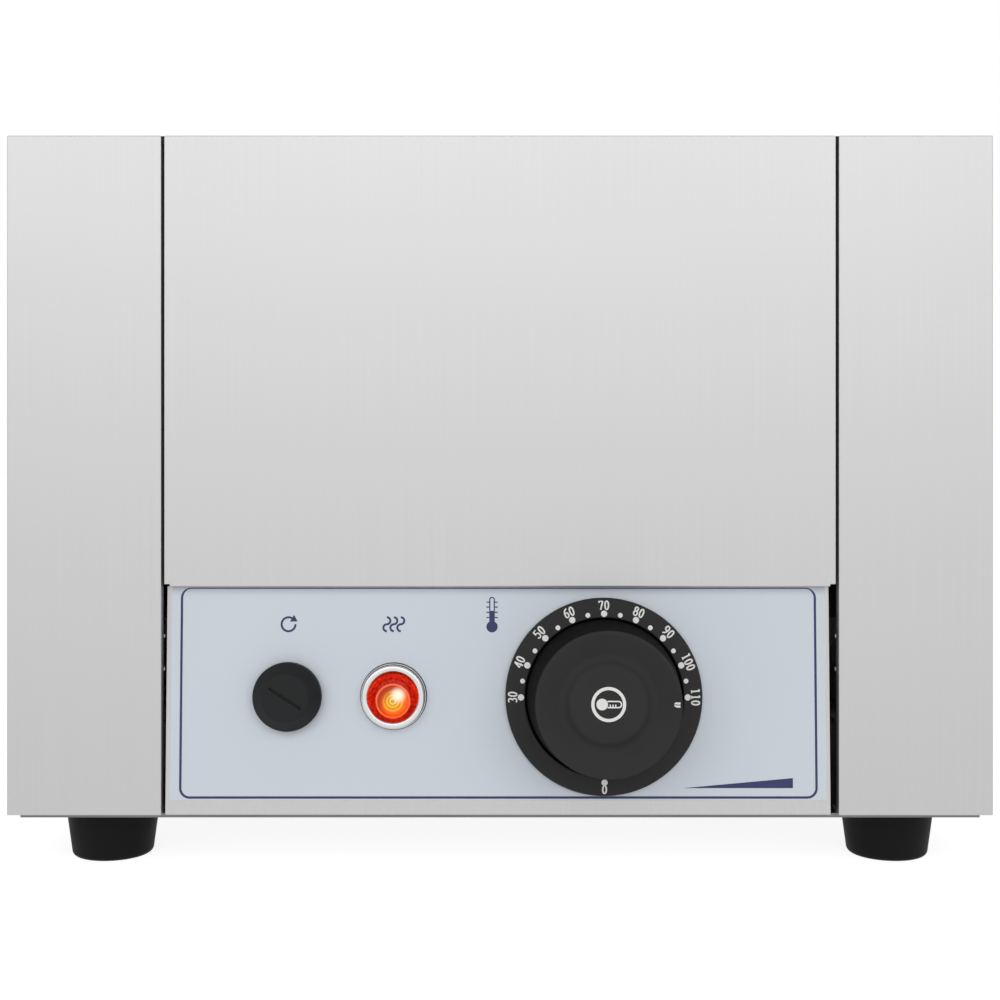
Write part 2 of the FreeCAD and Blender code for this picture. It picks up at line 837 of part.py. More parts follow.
def rear_panel():
    body = flanged_panel("rear_panel", "", "panel_bottom")
    lip_holes(body, [spot for spot in base_screw_spots("0") if spot[1] == "rear_screw_y"])
    entry = sketch(body, "cable_entry", "XZ_Plane", "gauge - half_depth")
    circle(entry, "gland_x", "gland_z", "gland_thread / 2 + screw_clearance")
    pocket(body, entry, "gauge")
    vents = sketch(body, "vents", "XZ_Plane", "gauge - half_depth")
    for column in (0, 1):
        slot(vents, f"{column} * vent_column_pitch + vent_length / 2", "vent_lowest",
             "vent_length", "vent_width")
    repeat_up(body, pocket(body, vents, "gauge"), vents, "vent_rows", "vent_row_pitch")


def base_plate():
    body = new_body("base_plate")
    plan = sketch(body, "plan", offset="foot_height")
    half_x = "(half_width - base_inset)"
    half_y = "(half_depth - base_inset)"
    rectangle(plan, f"-{half_x}", half_x, f"-{half_y}", half_y)
    pad(body, plan, "base_thickness")
    holes = sketch(body, "holes", offset="panel_bottom")
    for x, y, _ in base_screw_spots("0"):
        circle(holes, x, y, "screw_hole")
    for side in ("-", ""):
        for end in ("-", ""):
            circle(holes, f"{side}foot_x", f"{end}foot_y", "foot_bolt / 2 + screw_clearance")
    pocket(body, holes, "base_thickness")
    vents = sketch(body, "vents", offset="panel_bottom")
    for side in ("-", ""):
        slot(vents, f"{side}base_vent_offset", "(1 - base_vent_rows) / 2 * base_vent_pitch",
             "base_vent_length", "vent_width")
    repeat_up(body, pocket(body, vents, "base_thickness"), vents, "base_vent_rows", "base_vent_pitch")


def foot(label, side, end):
    body = new_body(label)
    revolve(body, [("foot_recess / 2", "0"), ("foot_bottom / 2", "0"), ("foot_top / 2", "foot_height"),
                   ("foot_bolt / 2 + screw_clearance", "foot_height"),
                   ("foot_bolt / 2 + screw_clearance", "foot_recess_depth"),
                   ("foot_recess / 2", "foot_recess_depth")])
    round_edges(body, "foot_rounding", ring_edge(value("foot_bottom") / 2, 0))
    place(body, f"{side}foot_x", f"{end}foot_y")


def feet():
    ends = {"front": "-", "rear": ""}
    sides = {"left": "-", "right": ""}
    spots = []
    for end_name, end in ends.items():
        for side_name, side in sides.items():
            foot(f"foot_{end_name}_{side_name}", side, end)
            spots.append((f"{side}foot_x", f"{end}foot_y"))
    bolt = pan_screw("foot_bolt_blank", "foot_bolt", "foot_bolt_length", "foot_bolt_head",
                     "foot_bolt_head_height")
    copies("foot_screws", bolt, [spot + ("foot_recess_depth",) for spot in spots], "180")
    lock = nut("foot_nut_blank", "foot_nut", "foot_nut_height", "foot_bolt")
    copies("foot_nuts", lock, [spot + ("panel_bottom",) for spot in spots])


def tank():
    """The flange under the casing's lips and the well with round corners drawn down from it."""
    body = new_body("tank")
    flange = sketch(body, "flange", offset="flange_under")
    half_x = "(half_width - gauge - tank_clearance)"
    half_y = "(half_depth - gauge - tank_clearance)"
    rectangle(flange, f"-{half_x}", half_x, f"-{half_y}", half_y)
    pad(body, flange, "gauge")
    outer = sketch(body, "outer", offset="tank_under")
    rounded_rectangle(outer, "well_width / 2 + gauge", "well_length / 2 + gauge", "well_corner + gauge")
    pad(body, outer, "flange_under - tank_under")
    inner_x = value("well_width") / 2
    outer_x = inner_x + value("gauge")

    def loop(half_width, level):
        """A test for the edges of a loop of this half width at a level."""
        def wanted(box):
            reach = max(-box.XMin, box.XMax)
            flat = near(box.ZMin, value(level)) and near(box.ZMax, value(level))
            return flat and reach < half_width + EDGE_TOLERANCE
        return wanted

    inner = sketch(body, "well", offset="lip_under")
    rounded_rectangle(inner, "well_width / 2", "well_length / 2", "well_corner")
    pocket(body, inner, "well_depth")
    round_edges(body, "well_floor_radius", loop(inner_x, "well_floor"))
    round_edges(body, "well_floor_radius + gauge", loop(outer_x, "tank_under"))
    round_edges(body, "well_rim_radius - gauge", loop(outer_x, "flange_under"))
    round_edges(body, "well_rim_radius", loop(inner_x, "lip_under"))


# Control panel

def control_panel():
    """The leaning strip under the apron, with a foot flange and a head flange."""
    body = new_body("control_panel")
    profile = sketch(body, "profile", "YZ_Plane", "-panel_left")
    outline(profile, [("panel_low_y", "panel_bottom"),
                      ("panel_low_y + panel_foot", "panel_bottom"),
                      ("panel_low_y + panel_foot", "panel_bottom + gauge"),
                      ("panel_low_y + gauge + gauge * lean_slope", "panel_bottom + gauge"),
                      ("panel_high_y + gauge - gauge * lean_slope", "apron_bottom - gauge"),
                      ("panel_high_y + panel_head", "apron_bottom - gauge"),
                      ("panel_high_y + panel_head", "apron_bottom"),
                      ("panel_high_y", "apron_bottom")])
    pad(body, profile, "panel_left + panel_right")
    low = value("panel_low_y")
    high = value("panel_high_y")

    def bends(box):
        return box.XLength > value("gauge") and (near(box.YMin, low) or near(box.YMin, high))

    round_edges(body, "fold_radius", bends)
    lip_holes(body, [spot for spot in base_screw_spots("0") if spot[1] == "front_screw_y"])
    head_holes = sketch(body, "head_holes", offset="apron_bottom")
    for side in ("-", ""):
        circle(head_holes, f"{side}top_screw_offset", "top_screw_y", "screw_hole")
    pocket(body, head_holes, "gauge")
    face = sketch(body, "control_holes")
    face.AttachmentOffset = Placement(Vector(), Rotation(Vector(1, 0, 0), 1))
    bind(face, AttachmentOffset__Base__y="control_face_y", AttachmentOffset__Base__z="control_height",
         AttachmentOffset__Rotation__Angle="tilt")
    control_holes(face)
    pocket(body, face, "4 * gauge", "Symmetric")


def control_holes(drawing, height="0"):
    """The holes that the controls need, in the panel's frame."""
    circle(drawing, "dial_x", height, "bush / 2 + assembly_gap")
    for side in ("-", "+"):
        circle(drawing, f"dial_x {side} fixing_pitch / 2", height, "screw_hole")
    circle(drawing, "lamp_x", height, "lamp_barrel / 2 + assembly_gap")
    circle(drawing, "reset_x", height, "neck / 2 + assembly_gap")


def control_label():
    """The printed sheet stuck on the panel's face."""
    body = new_body("control_label")
    rise = "((control_height - panel_bottom) / lean_cos)"
    head = "((apron_bottom - control_height) / lean_cos - label_top - fold_radius)"
    plan = sketch(body, "plan")
    rectangle(plan, "label_margin_left - panel_left", "panel_right - label_margin_right",
              f"label_bottom - {rise}", head)
    pad(body, plan, "label_thickness")
    holes = sketch(body, "holes", offset="label_thickness")
    control_holes(holes)
    pocket(body, holes, "label_thickness")
    on_panel(body, "0")


def panel_fixings():
    """Screws and nuts that hold the panel's head flange to the apron's lower flange."""
    spots = [(f"{side}top_screw_offset", "top_screw_y") for side in ("-", "")]
    screw = pan_screw("panel_screw_blank", "screw", "screw_length", "screw_head", "screw_head_height")
    copies("panel_screws", screw, [spot + ("apron_bottom - gauge",) for spot in spots], "180")
    lock = nut("panel_nut_blank", "screw_nut", "screw_nut_height", "screw")
    copies("panel_nuts", lock, [spot + ("apron_bottom + gauge",) for spot in spots])
    copies("casing_screws", screw, base_screw_spots("foot_height"), "180")


# Thermostat, dial and knob

def tabs(name, spots, back, width="tab_width"):
    """Spade terminals that stand out behind a control, at X and Y of the panel's frame."""
    return [block(f"{name}_tab_{index}", f"{x} - {width} / 2", f"{y} - tab_gauge / 2",
                  f"{back} - tab_length", width, "tab_gauge", "tab_length")
            for index, (x, y) in enumerate(spots)]


def thermostat():
    back = "(-gauge - bracket_gauge - thermostat_depth)"
    case = block("thermostat_case", "-thermostat_width / 2", "-thermostat_height / 2", back,
                 "thermostat_width", "thermostat_height", "thermostat_depth")
    bracket = block("thermostat_bracket", "-bracket_width / 2", "-thermostat_height / 2",
                    "-gauge - bracket_gauge", "bracket_width", "thermostat_height", "bracket_gauge")
    bush = rod("thermostat_bush", "bush / 2", "bush_length + gauge", z="-gauge")
    spades = tabs("thermostat", [("-thermostat_tab", "0"), ("thermostat_tab", "0")], back)
    whole = joined("thermostat_blank", [case, bracket, bush] + spades)
    bore = rod("thermostat_bore", "shaft / 2 + running_fit", "shaft_depth + bush_length + assembly_gap",
               z="-shaft_depth - assembly_gap")
    threads = [rod(f"thermostat_thread_{index}", "screw_hole", "screw_length", f"{side}fixing_pitch / 2", "0",
                   "-screw_length - gauge") for index, side in enumerate(("-", ""))]
    on_panel(node("thermostat_body", trimmed("thermostat_body", whole, [bore] + threads)), "dial_x")

    stem = rod("shaft_stem", "shaft / 2", "shaft_reach + shaft_depth", z="-shaft_depth")
    flat = block("shaft_flat", "-shaft / 2", "shaft_flat", "shaft_reach / 2", "shaft", "shaft", "shaft_reach")
    on_panel(node("thermostat_shaft", trimmed("thermostat_shaft", stem, [flat])), "dial_x")

    screw = pan_screw("thermostat_screw_blank", "screw", "screw_length", "screw_head", "screw_head_height")
    seat = "label_thickness + dial_floor"
    spots = [(f"{side}fixing_pitch / 2", "0", seat) for side in ("-", "")]
    on_panel(copies("thermostat_screws", screw, spots), "dial_x")


def dial_ring():
    """The fixed ring round the knob, with a sloping face for the scale."""
    body = new_body("dial_ring")
    floor = "label_thickness + dial_floor"
    edge = "label_thickness + dial_ring_edge"
    crest = "label_thickness + dial_ring_height"
    revolve(body, [("bush / 2 + assembly_gap", "label_thickness"), ("dial_ring / 2", "label_thickness"),
                   ("dial_ring / 2", edge), ("dial_ring_bore / 2", crest), ("dial_ring_bore / 2", floor),
                   ("bush / 2 + assembly_gap", floor)])
    base = value("label_thickness")
    round_edges(body, "dial_edge_rounding", ring_edge(value("dial_ring") / 2, base + value("dial_ring_edge")))
    round_edges(body, "dial_crest_rounding",
                ring_edge(value("dial_ring_bore") / 2, base + value("dial_ring_height")))
    holes = sketch(body, "fixing_holes", offset=floor)
    for side in ("-", ""):
        circle(holes, f"{side}fixing_pitch / 2", "0", "screw_hole")
    pocket(body, holes, "dial_floor")
    on_panel(body, "dial_x")


def control_knob():
    """A hollow knob with a dished front, a low boss in the middle and a hub for the shaft."""
    body = new_body("control_knob")
    roof = "(knob_top - knob_valley_depth - knob_wall)"
    valley = "(knob_top - knob_valley_depth)"
    boss = "(knob_top - knob_boss_drop)"
    bore = "shaft / 2 + running_fit"
    hub = "bush_length + knob_hub_gap"
    revolve(body, [("0", boss), ("knob_boss / 2", boss), ("knob_valley / 2", valley),
                   ("knob_rim / 2 - knob_rim_width", "knob_top"), ("knob_rim / 2", "knob_top"),
                   ("knob_skirt / 2", "knob_bottom"), ("knob_skirt / 2 - knob_wall", "knob_bottom"),
                   ("knob_rim / 2 - knob_wall", roof), ("knob_hub / 2", roof),
                   ("knob_hub / 2", hub), (bore, hub),
                   (bore, "shaft_reach + assembly_gap"), ("0", "shaft_reach + assembly_gap")])
    top = value("knob_top")
    inner_rim = value("knob_rim") / 2 - value("knob_wall")
    round_edges(body, "knob_valley_rounding",
                ring_edge(value("knob_valley") / 2, top - value("knob_valley_depth")))
    round_edges(body, "knob_boss_rounding", ring_edge(value("knob_boss") / 2, top - value("knob_boss_drop")))
    round_edges(body, "knob_rim_rounding", lambda box: near(box.ZMin, top) and box.XMax > inner_rim)
    on_panel(body, "dial_x")

    ring = rod("clip_ring", "knob_hub / 2 + clip_gauge + running_fit", "clip_height",
               z="(bush_length + shaft_reach) / 2")
    bind(ring, Angle="360 - clip_opening")
    hole = rod("clip_hole", "knob_hub / 2 + running_fit", "clip_height", z="(bush_length + shaft_reach) / 2")
    on_panel(node("knob_clip", trimmed("knob_clip", ring, [hole])), "dial_x")


# Pilot lamp

def pilot_lamp():
    """A bright bezel with its barrel through the panel, a ringed lens, a neon bulb and its holder."""
    seat = "label_thickness"
    front = "(label_thickness + lamp_bezel_height)"
    shelf = "(label_thickness + lamp_seat)"
    bezel = new_body("lamp_bezel")
    revolve(bezel, [("lamp_barrel_bore / 2", "-lamp_barrel_depth"), ("lamp_barrel / 2", "-lamp_barrel_depth"),
                    ("lamp_barrel / 2", seat), ("lamp_bezel / 2", seat), ("lamp_bezel / 2", front),
                    ("lamp_window / 2", front), ("lamp_window / 2", shelf), ("lamp_barrel_bore / 2", shelf)])
    crest = value("label_thickness") + value("lamp_bezel_height")
    round_edges(bezel, "lamp_edge_rounding", ring_edge(value("lamp_bezel") / 2, crest))
    on_panel(bezel, "lamp_x")

    lens = new_body("lamp_lens")
    rim = "lens / 2"
    face = f"{shelf} + lens_height"
    outer = [("0", shelf), (rim, shelf), (rim, f"{face} - lens_ring_depth")]
    for ring in range(int(value("lens_rings")), 0, -1):
        foot_radius = f"lens_disc / 2 + {ring} * lens_ring_pitch - lens_ring_pitch / 2"
        outer.append((f"{foot_radius} + lens_ring_pitch / 2", face))
        outer.append((foot_radius, f"{face} - lens_ring_depth"))
    revolve(lens, outer + [("lens_disc / 2", face), ("0", face)])
    on_panel(lens, "lamp_x")

    neon_top = "-assembly_gap"
    neon = new_body("lamp_bulb")
    revolve(neon, [("0", f"{neon_top} - neon_length"), ("neon / 2", f"{neon_top} - neon_length"),
                   ("neon / 2", neon_top), ("0", neon_top)])
    round_edges(neon, "neon_rounding", ring_edge(value("neon") / 2, -value("assembly_gap")))
    on_panel(neon, "lamp_x")

    back = "(-lamp_barrel_depth - lamp_seat)"
    plug = rod("holder_plug", "lamp_barrel_bore / 2 - running_fit",
               "lamp_barrel_depth - neon_length + 2 * lamp_seat", z=back)
    cap = rod("holder_cap", "lamp_barrel / 2", "lamp_seat", z=back)
    spades = tabs("lamp", [("-lamp_tab", "0"), ("lamp_tab", "0")], back, "lamp_tab_width")
    socket = rod("holder_socket", "neon / 2 + running_fit", "lamp_barrel_depth",
                 z=f"{neon_top} - neon_length")
    holder = trimmed("lamp_holder", joined("holder_blank", [plug, cap] + spades), [socket])
    on_panel(node("lamp_holder", holder), "lamp_x")

    lock = nut("lamp_nut_blank", "lamp_nut_flats", "lamp_nut_height", "lamp_barrel")
    on_panel(copies("lamp_nut", lock, [("0", "0", "-gauge - lamp_nut_height")]), "lamp_x")


# Limiter and reset

def limiter():
    """The over-temperature limiter, its threaded neck through the panel and the reset button in it."""
    back = "(-gauge - limiter_depth)"
    case = block("limiter_case", "-limiter_width / 2", "-limiter_height / 2", back,
                 "limiter_width", "limiter_height", "limiter_depth")
    neck = rod("limiter_neck", "neck / 2", "neck_reach + 2 * gauge", z="-2 * gauge")
    tab_spots = [("-limiter_tab", "0"), ("limiter_tab", "0"), ("-limiter_tab", "lamp_feed_rise")]
    spades = tabs("limiter", tab_spots, back)
    whole = joined("limiter_blank", [case, neck] + spades)
    well = "reset_button_depth + reset_travel + assembly_gap"
    bore = rod("limiter_bore", "reset_button / 2 + running_fit", f"neck_reach + {well}", z=f"-({well})")
    on_panel(node("limiter_body", trimmed("limiter_body", whole, [bore])), "reset_x")

    lock = nut("limiter_nut_blank", "neck_nut_flats", "neck_nut_height", "neck")
    on_panel(copies("limiter_nut", lock, [("0", "0", "label_thickness")]), "reset_x")

    button = new_body("reset_button")
    top = "(neck_reach + reset_button_proud)"
    revolve(button, [("0", "-reset_button_depth"), ("reset_button / 2", "-reset_button_depth"),
                     ("reset_button / 2", top), ("0", top)])
    round_edges(button, "reset_button_rounding",
                ring_edge(value("reset_button") / 2, value("neck_reach") + value("reset_button_proud")))
    on_panel(button, "reset_x")

    seal = new_body("reset_seal")
    revolve(seal, [("reset_seal_bore / 2", "label_thickness"), ("reset_seal / 2", "label_thickness"),
                   ("reset_seal / 2", "cap_bottom"), ("reset_seal_bore / 2", "cap_bottom")])
    on_panel(seal, "reset_x")


def reset_cap():
    """The screw cap over the reset, with a driver slot across its flat top."""
    body = new_body("reset_cap")
    edge = "(cap_bottom + reset_cap_edge)"
    thread = "neck / 2 + running_fit"
    revolve(body, [("0", "cap_ceiling"), (thread, "cap_ceiling"), (thread, "nut_space"),
                   ("reset_seal_bore / 2 - 2 * assembly_gap", "nut_space"),
                   ("reset_seal_bore / 2 - 2 * assembly_gap", "cap_bottom"),
                   ("reset_cap / 2", "cap_bottom"), ("reset_cap / 2", edge),
                   ("reset_cap_top / 2", "cap_top"), ("0", "cap_top")])
    round_edges(body, "reset_cap_rounding", ring_edge(value("reset_cap_top") / 2, value("cap_top")))
    round_edges(body, "reset_cap_rounding",
                ring_edge(value("reset_cap") / 2, value("cap_bottom") + value("reset_cap_edge")))
    cut = sketch(body, "slot", offset="cap_top")
    bind(cut, AttachmentOffset__Rotation__Angle="-reset_slot_fall")
    half = "reset_slot_length / 2"
    rectangle(cut, f"-{half}", half, "-reset_slot_width / 2", "reset_slot_width / 2")
    pocket(body, cut, "reset_slot_depth")
    on_panel(body, "reset_x")


# Heating under the tank

def heating_element():
    """A tubular element bent to four runs, its two ends turned down to terminal pins."""
    pitch = value("element_pitch")
    radius = value("element_tube") / 2
    level = value("tank_under") - radius
    front = value("element_front")
    rear = value("element_rear")
    bend = value("element_drop_bend")
    half = pitch / 2

    def at(x, y, z=level):
        return Vector(x, y, z)

    def half_turn(x, y, out):
        return Part.Arc(at(x - half, y), at(x, y + out * half), at(x + half, y)).toShape()

    def drop(x, downwards):
        """The quarter bend and the straight end at one side, in the path's direction."""
        corner = math.sin(math.pi / 4) * bend
        arc = [at(x, front), at(x, front - corner, level - bend + corner), at(x, front - bend, level - bend)]
        line = [arc[2], at(x, front - bend, level - bend - value("element_drop"))]
        if downwards:
            return [Part.Arc(*arc).toShape(), Part.LineSegment(*line).toShape()]
        return [Part.LineSegment(*line[::-1]).toShape(), Part.Arc(*arc[::-1]).toShape()]

    outer = value("element_outer")
    path = drop(-outer, False)
    path.append(Part.LineSegment(at(-outer, front), at(-outer, rear)).toShape())
    path.append(half_turn(-pitch, rear, 1))
    path.append(Part.LineSegment(at(-half, rear), at(-half, front + half)).toShape())
    path.append(half_turn(0, front + half, -1))
    path.append(Part.LineSegment(at(half, front + half), at(half, rear)).toShape())
    path.append(half_turn(pitch, rear, 1))
    path.append(Part.LineSegment(at(outer, rear), at(outer, front)).toShape())
    path += drop(outer, True)
    solid = tube(Part.Wire(path), radius)
    down = Vector(0, 0, -1)
    for x in (-outer, outer):
        end = at(x, front - bend, level - bend - value("element_drop"))
        pin_solid = Part.makeCylinder(value("element_pin") / 2, value("element_pin_length"), end, down)
        solid = solid.fuse(pin_solid)
    set_shape("heating_element", solid.removeSplitter())


def element_fixings():
    """Clamp bars under the element, and a shield tray under them, both on studs from the tank."""
    bars = []
    for name, y in (("front", "clamp_front"), ("rear", "clamp_rear")):
        bar = block(f"clamp_{name}_bar", "-clamp_length / 2", f"{y} - clamp_width / 2",
                    "clamp_top - clamp_gauge", "clamp_length", "clamp_width", "clamp_gauge")
        holes = [rod(f"clamp_{name}_hole_{i}", "stud / 2 + screw_clearance", "clamp_gauge",
                     f"{side}element_pitch", y, "clamp_top - clamp_gauge")
                 for i, side in enumerate(("-", ""))]
        bars.append(trimmed(f"clamp_{name}", bar, holes))
    group("element_clamps", bars)
    spots = [(f"{side}element_pitch", y) for side in ("-", "") for y in ("clamp_front", "clamp_rear")]
    stud = rod("clamp_stud_blank", "stud / 2", "clamp_stud_length")
    copies("clamp_studs", stud, [spot + ("tank_under - clamp_stud_length",) for spot in spots])
    lock = nut("clamp_nut_blank", "stud_nut", "stud_nut_height", "stud")
    copies("clamp_nuts", lock, [spot + ("clamp_top - clamp_gauge - stud_nut_height",) for spot in spots])

    tray = block("shield_blank", "-shield_width / 2", "shield_front", "shield_floor",
                 "shield_width", "shield_rear - shield_front", "shield_depth")
    inside = block("shield_inside", "shield_gauge - shield_width / 2", "shield_front + shield_gauge",
                   "shield_floor + shield_gauge", "shield_width - 2 * shield_gauge",
                   "shield_rear - shield_front - 2 * shield_gauge", "shield_depth")
    corners = [(f"{side}shield_stud_x", y) for side in ("-", "")
               for y in ("shield_stud_front", "shield_stud_rear")]
    holes = [rod(f"shield_hole_{i}", "stud / 2 + screw_clearance", "shield_gauge", x, y, "shield_floor")
             for i, (x, y) in enumerate(corners)]
    holes += [rod(f"shield_pin_hole_{i}", "pin_hole / 2", "shield_gauge", f"{side}element_outer",
                  "element_front - element_drop_bend", "shield_floor") for i, side in enumerate(("-", ""))]
    node("heat_shield", trimmed("heat_shield", tray, [inside] + holes))
    long_stud = rod("shield_stud_blank", "stud / 2", "shield_depth + shield_tail")
    copies("shield_studs", long_stud, [spot + ("shield_floor - shield_tail",) for spot in corners])
    copies("shield_nuts", lock, [spot + ("shield_floor - stud_nut_height",) for spot in corners])


def probes():
    """The two liquid-filled bulbs under the tank, each on a thin tube from its control."""
    radius = value("probe") / 2
    level = value("probe_z")
    y = value("probe_y")
    start = value("probe_start")
    lane = value("capillary_lane")
    bend = value("capillary_bend")
    for name, side, centre in (("thermostat", 1, "dial_x"), ("limiter", -1, "reset_x")):
        exit_x = value(centre) + value(f"{name}_exit")
        foot_point = panel_point(exit_x, value(f"{name}_height") / 2, -value("capillary_exit_depth"))
        above = foot_point + Vector(0, 0, value(f"{name}_rise"))
        route = [foot_point, above, Vector(side * lane, above.y, above.z), Vector(side * lane, y, level),
                 Vector(side * start, y, level)]
        thin = tube(rounded_path(route, bend), value("capillary") / 2)
        bulb = Part.makeCylinder(radius, value("probe_length"), route[-1], Vector(side, 0, 0))
        set_shape(f"{name}_probe", thin.fuse(bulb).removeSplitter())
    saddles = []
    for side, sign in (("left", "-"), ("right", "")):
        for index, along in enumerate(("probe_start + probe_clip_inset",
                                       "probe_start + probe_length - probe_clip_inset")):
            name = f"probe_clip_{side}_{index}"
            saddle = block(f"{name}_blank", f"{sign}({along}) - probe_clip_width / 2",
                           "probe_y - probe / 2 - probe_clip_wall", "probe_z - probe / 2 - probe_clip_wall",
                           "probe_clip_width", "probe + 2 * probe_clip_wall", "probe + probe_clip_wall")
            groove = rod(f"{name}_groove", "probe / 2 + running_fit", "probe_clip_width",
                         f"{sign}({along}) - probe_clip_width / 2", "probe_y", "probe_z", "X")
            saddles.append(trimmed(name, saddle, [groove]))
    group("probe_clips", saddles)


# Supply

def cable_gland():
    """The gland in the rear panel: body, seal, dome nut and the lock nut inside."""
    def on_rear(thing):
        return place(thing, "gland_x", "half_depth", "gland_z", "-90")

    neck_top = "(gland_hex + gland_collar_length)"
    flats = hexagon("gland_flats_blank", "gland_flats", "gland_hex")
    collar = rod("gland_collar_blank", "gland_collar / 2", neck_top)
    thread = rod("gland_thread_blank", "gland_thread / 2", "gland_thread_length", z="-gland_thread_length")
    bore = rod("gland_bore_blank", "gland_bore / 2", f"gland_thread_length + {neck_top}",
               z="-gland_thread_length")
    whole = joined("gland_blank", [flats, collar, thread])
    on_rear(node("gland_body", trimmed("gland_body", whole, [bore])))

    seal = new_body("gland_seal")
    seal_low = f"({neck_top} - seal_length)"
    seal_radius = "gland_bore / 2 - running_fit"
    revolve(seal, [("cable_bore / 2", seal_low), (seal_radius, seal_low), (seal_radius, neck_top),
                   ("cable_bore / 2", neck_top)])
    on_rear(seal)

    dome = new_body("gland_dome_nut")
    low = "(gland_hex + assembly_gap)"
    inner = "gland_collar / 2 + running_fit"
    outer = "gland_collar / 2 + gland_dome_wall"
    ceiling = f"({neck_top} + assembly_gap)"
    crown = "(gland_hex + gland_dome)"
    revolve(dome, [(inner, low), (outer, low), (outer, ceiling), ("gland_mouth / 2 + gland_dome_wall", crown),
                   ("gland_mouth / 2", crown), ("gland_mouth / 2", ceiling), (inner, ceiling)])
    top = value("gland_hex") + value("gland_dome")
    round_edges(dome, "gland_dome_rounding",
                ring_edge(value("gland_mouth") / 2 + value("gland_dome_wall"), top))
    on_rear(dome)

    lock = nut("gland_locknut_blank", "gland_flats", "gland_nut_height", "gland_thread")
    on_rear(copies("gland_locknut", lock, [("0", "0", "-gauge - gland_nut_height")]))


def terminals():
    """The terminal block on the base plate, with three poles, and the earth stud beside it."""
    low_y = "terminal_y - terminal_depth / 2"
    blank = block("terminal_blank", "gland_x - terminal_width / 2", low_y, "panel_bottom",
                  "terminal_width", "terminal_depth", "terminal_height")
    wells = []
    spots = []
    top = "panel_bottom + terminal_height"
    for pole in (-1, 0, 1):
        for row in ("-", "+"):
            spot = (f"gland_x + {pole} * terminal_pitch", f"terminal_y {row} terminal_depth / 4")
            name = f"terminal_well_{pole + 1}_{'front' if row == '-' else 'rear'}"
            wells.append(rod(name, "terminal_screw_head / 2 + assembly_gap", "terminal_well", *spot,
                             f"{top} - terminal_well"))
            spots.append(spot + (f"{top} - terminal_well + terminal_screw_length",))
    node("terminal_block", trimmed("terminal_block", blank, wells))
    screw = pan_screw("terminal_screw_blank", "terminal_screw", "terminal_screw_length",
                      "terminal_screw_head", "terminal_screw_head_height")
    copies("terminal_screws", screw, spots)

    stud = rod("earth_stud", "earth_bolt / 2", "earth_length", "earth_x", "earth_y", "panel_bottom")
    node("earth_stud", stud)
    lock = nut("earth_nut_blank", "earth_nut", "earth_nut_height", "earth_bolt")
    copies("earth_nut", lock, [("earth_x", "earth_y", "panel_bottom")])


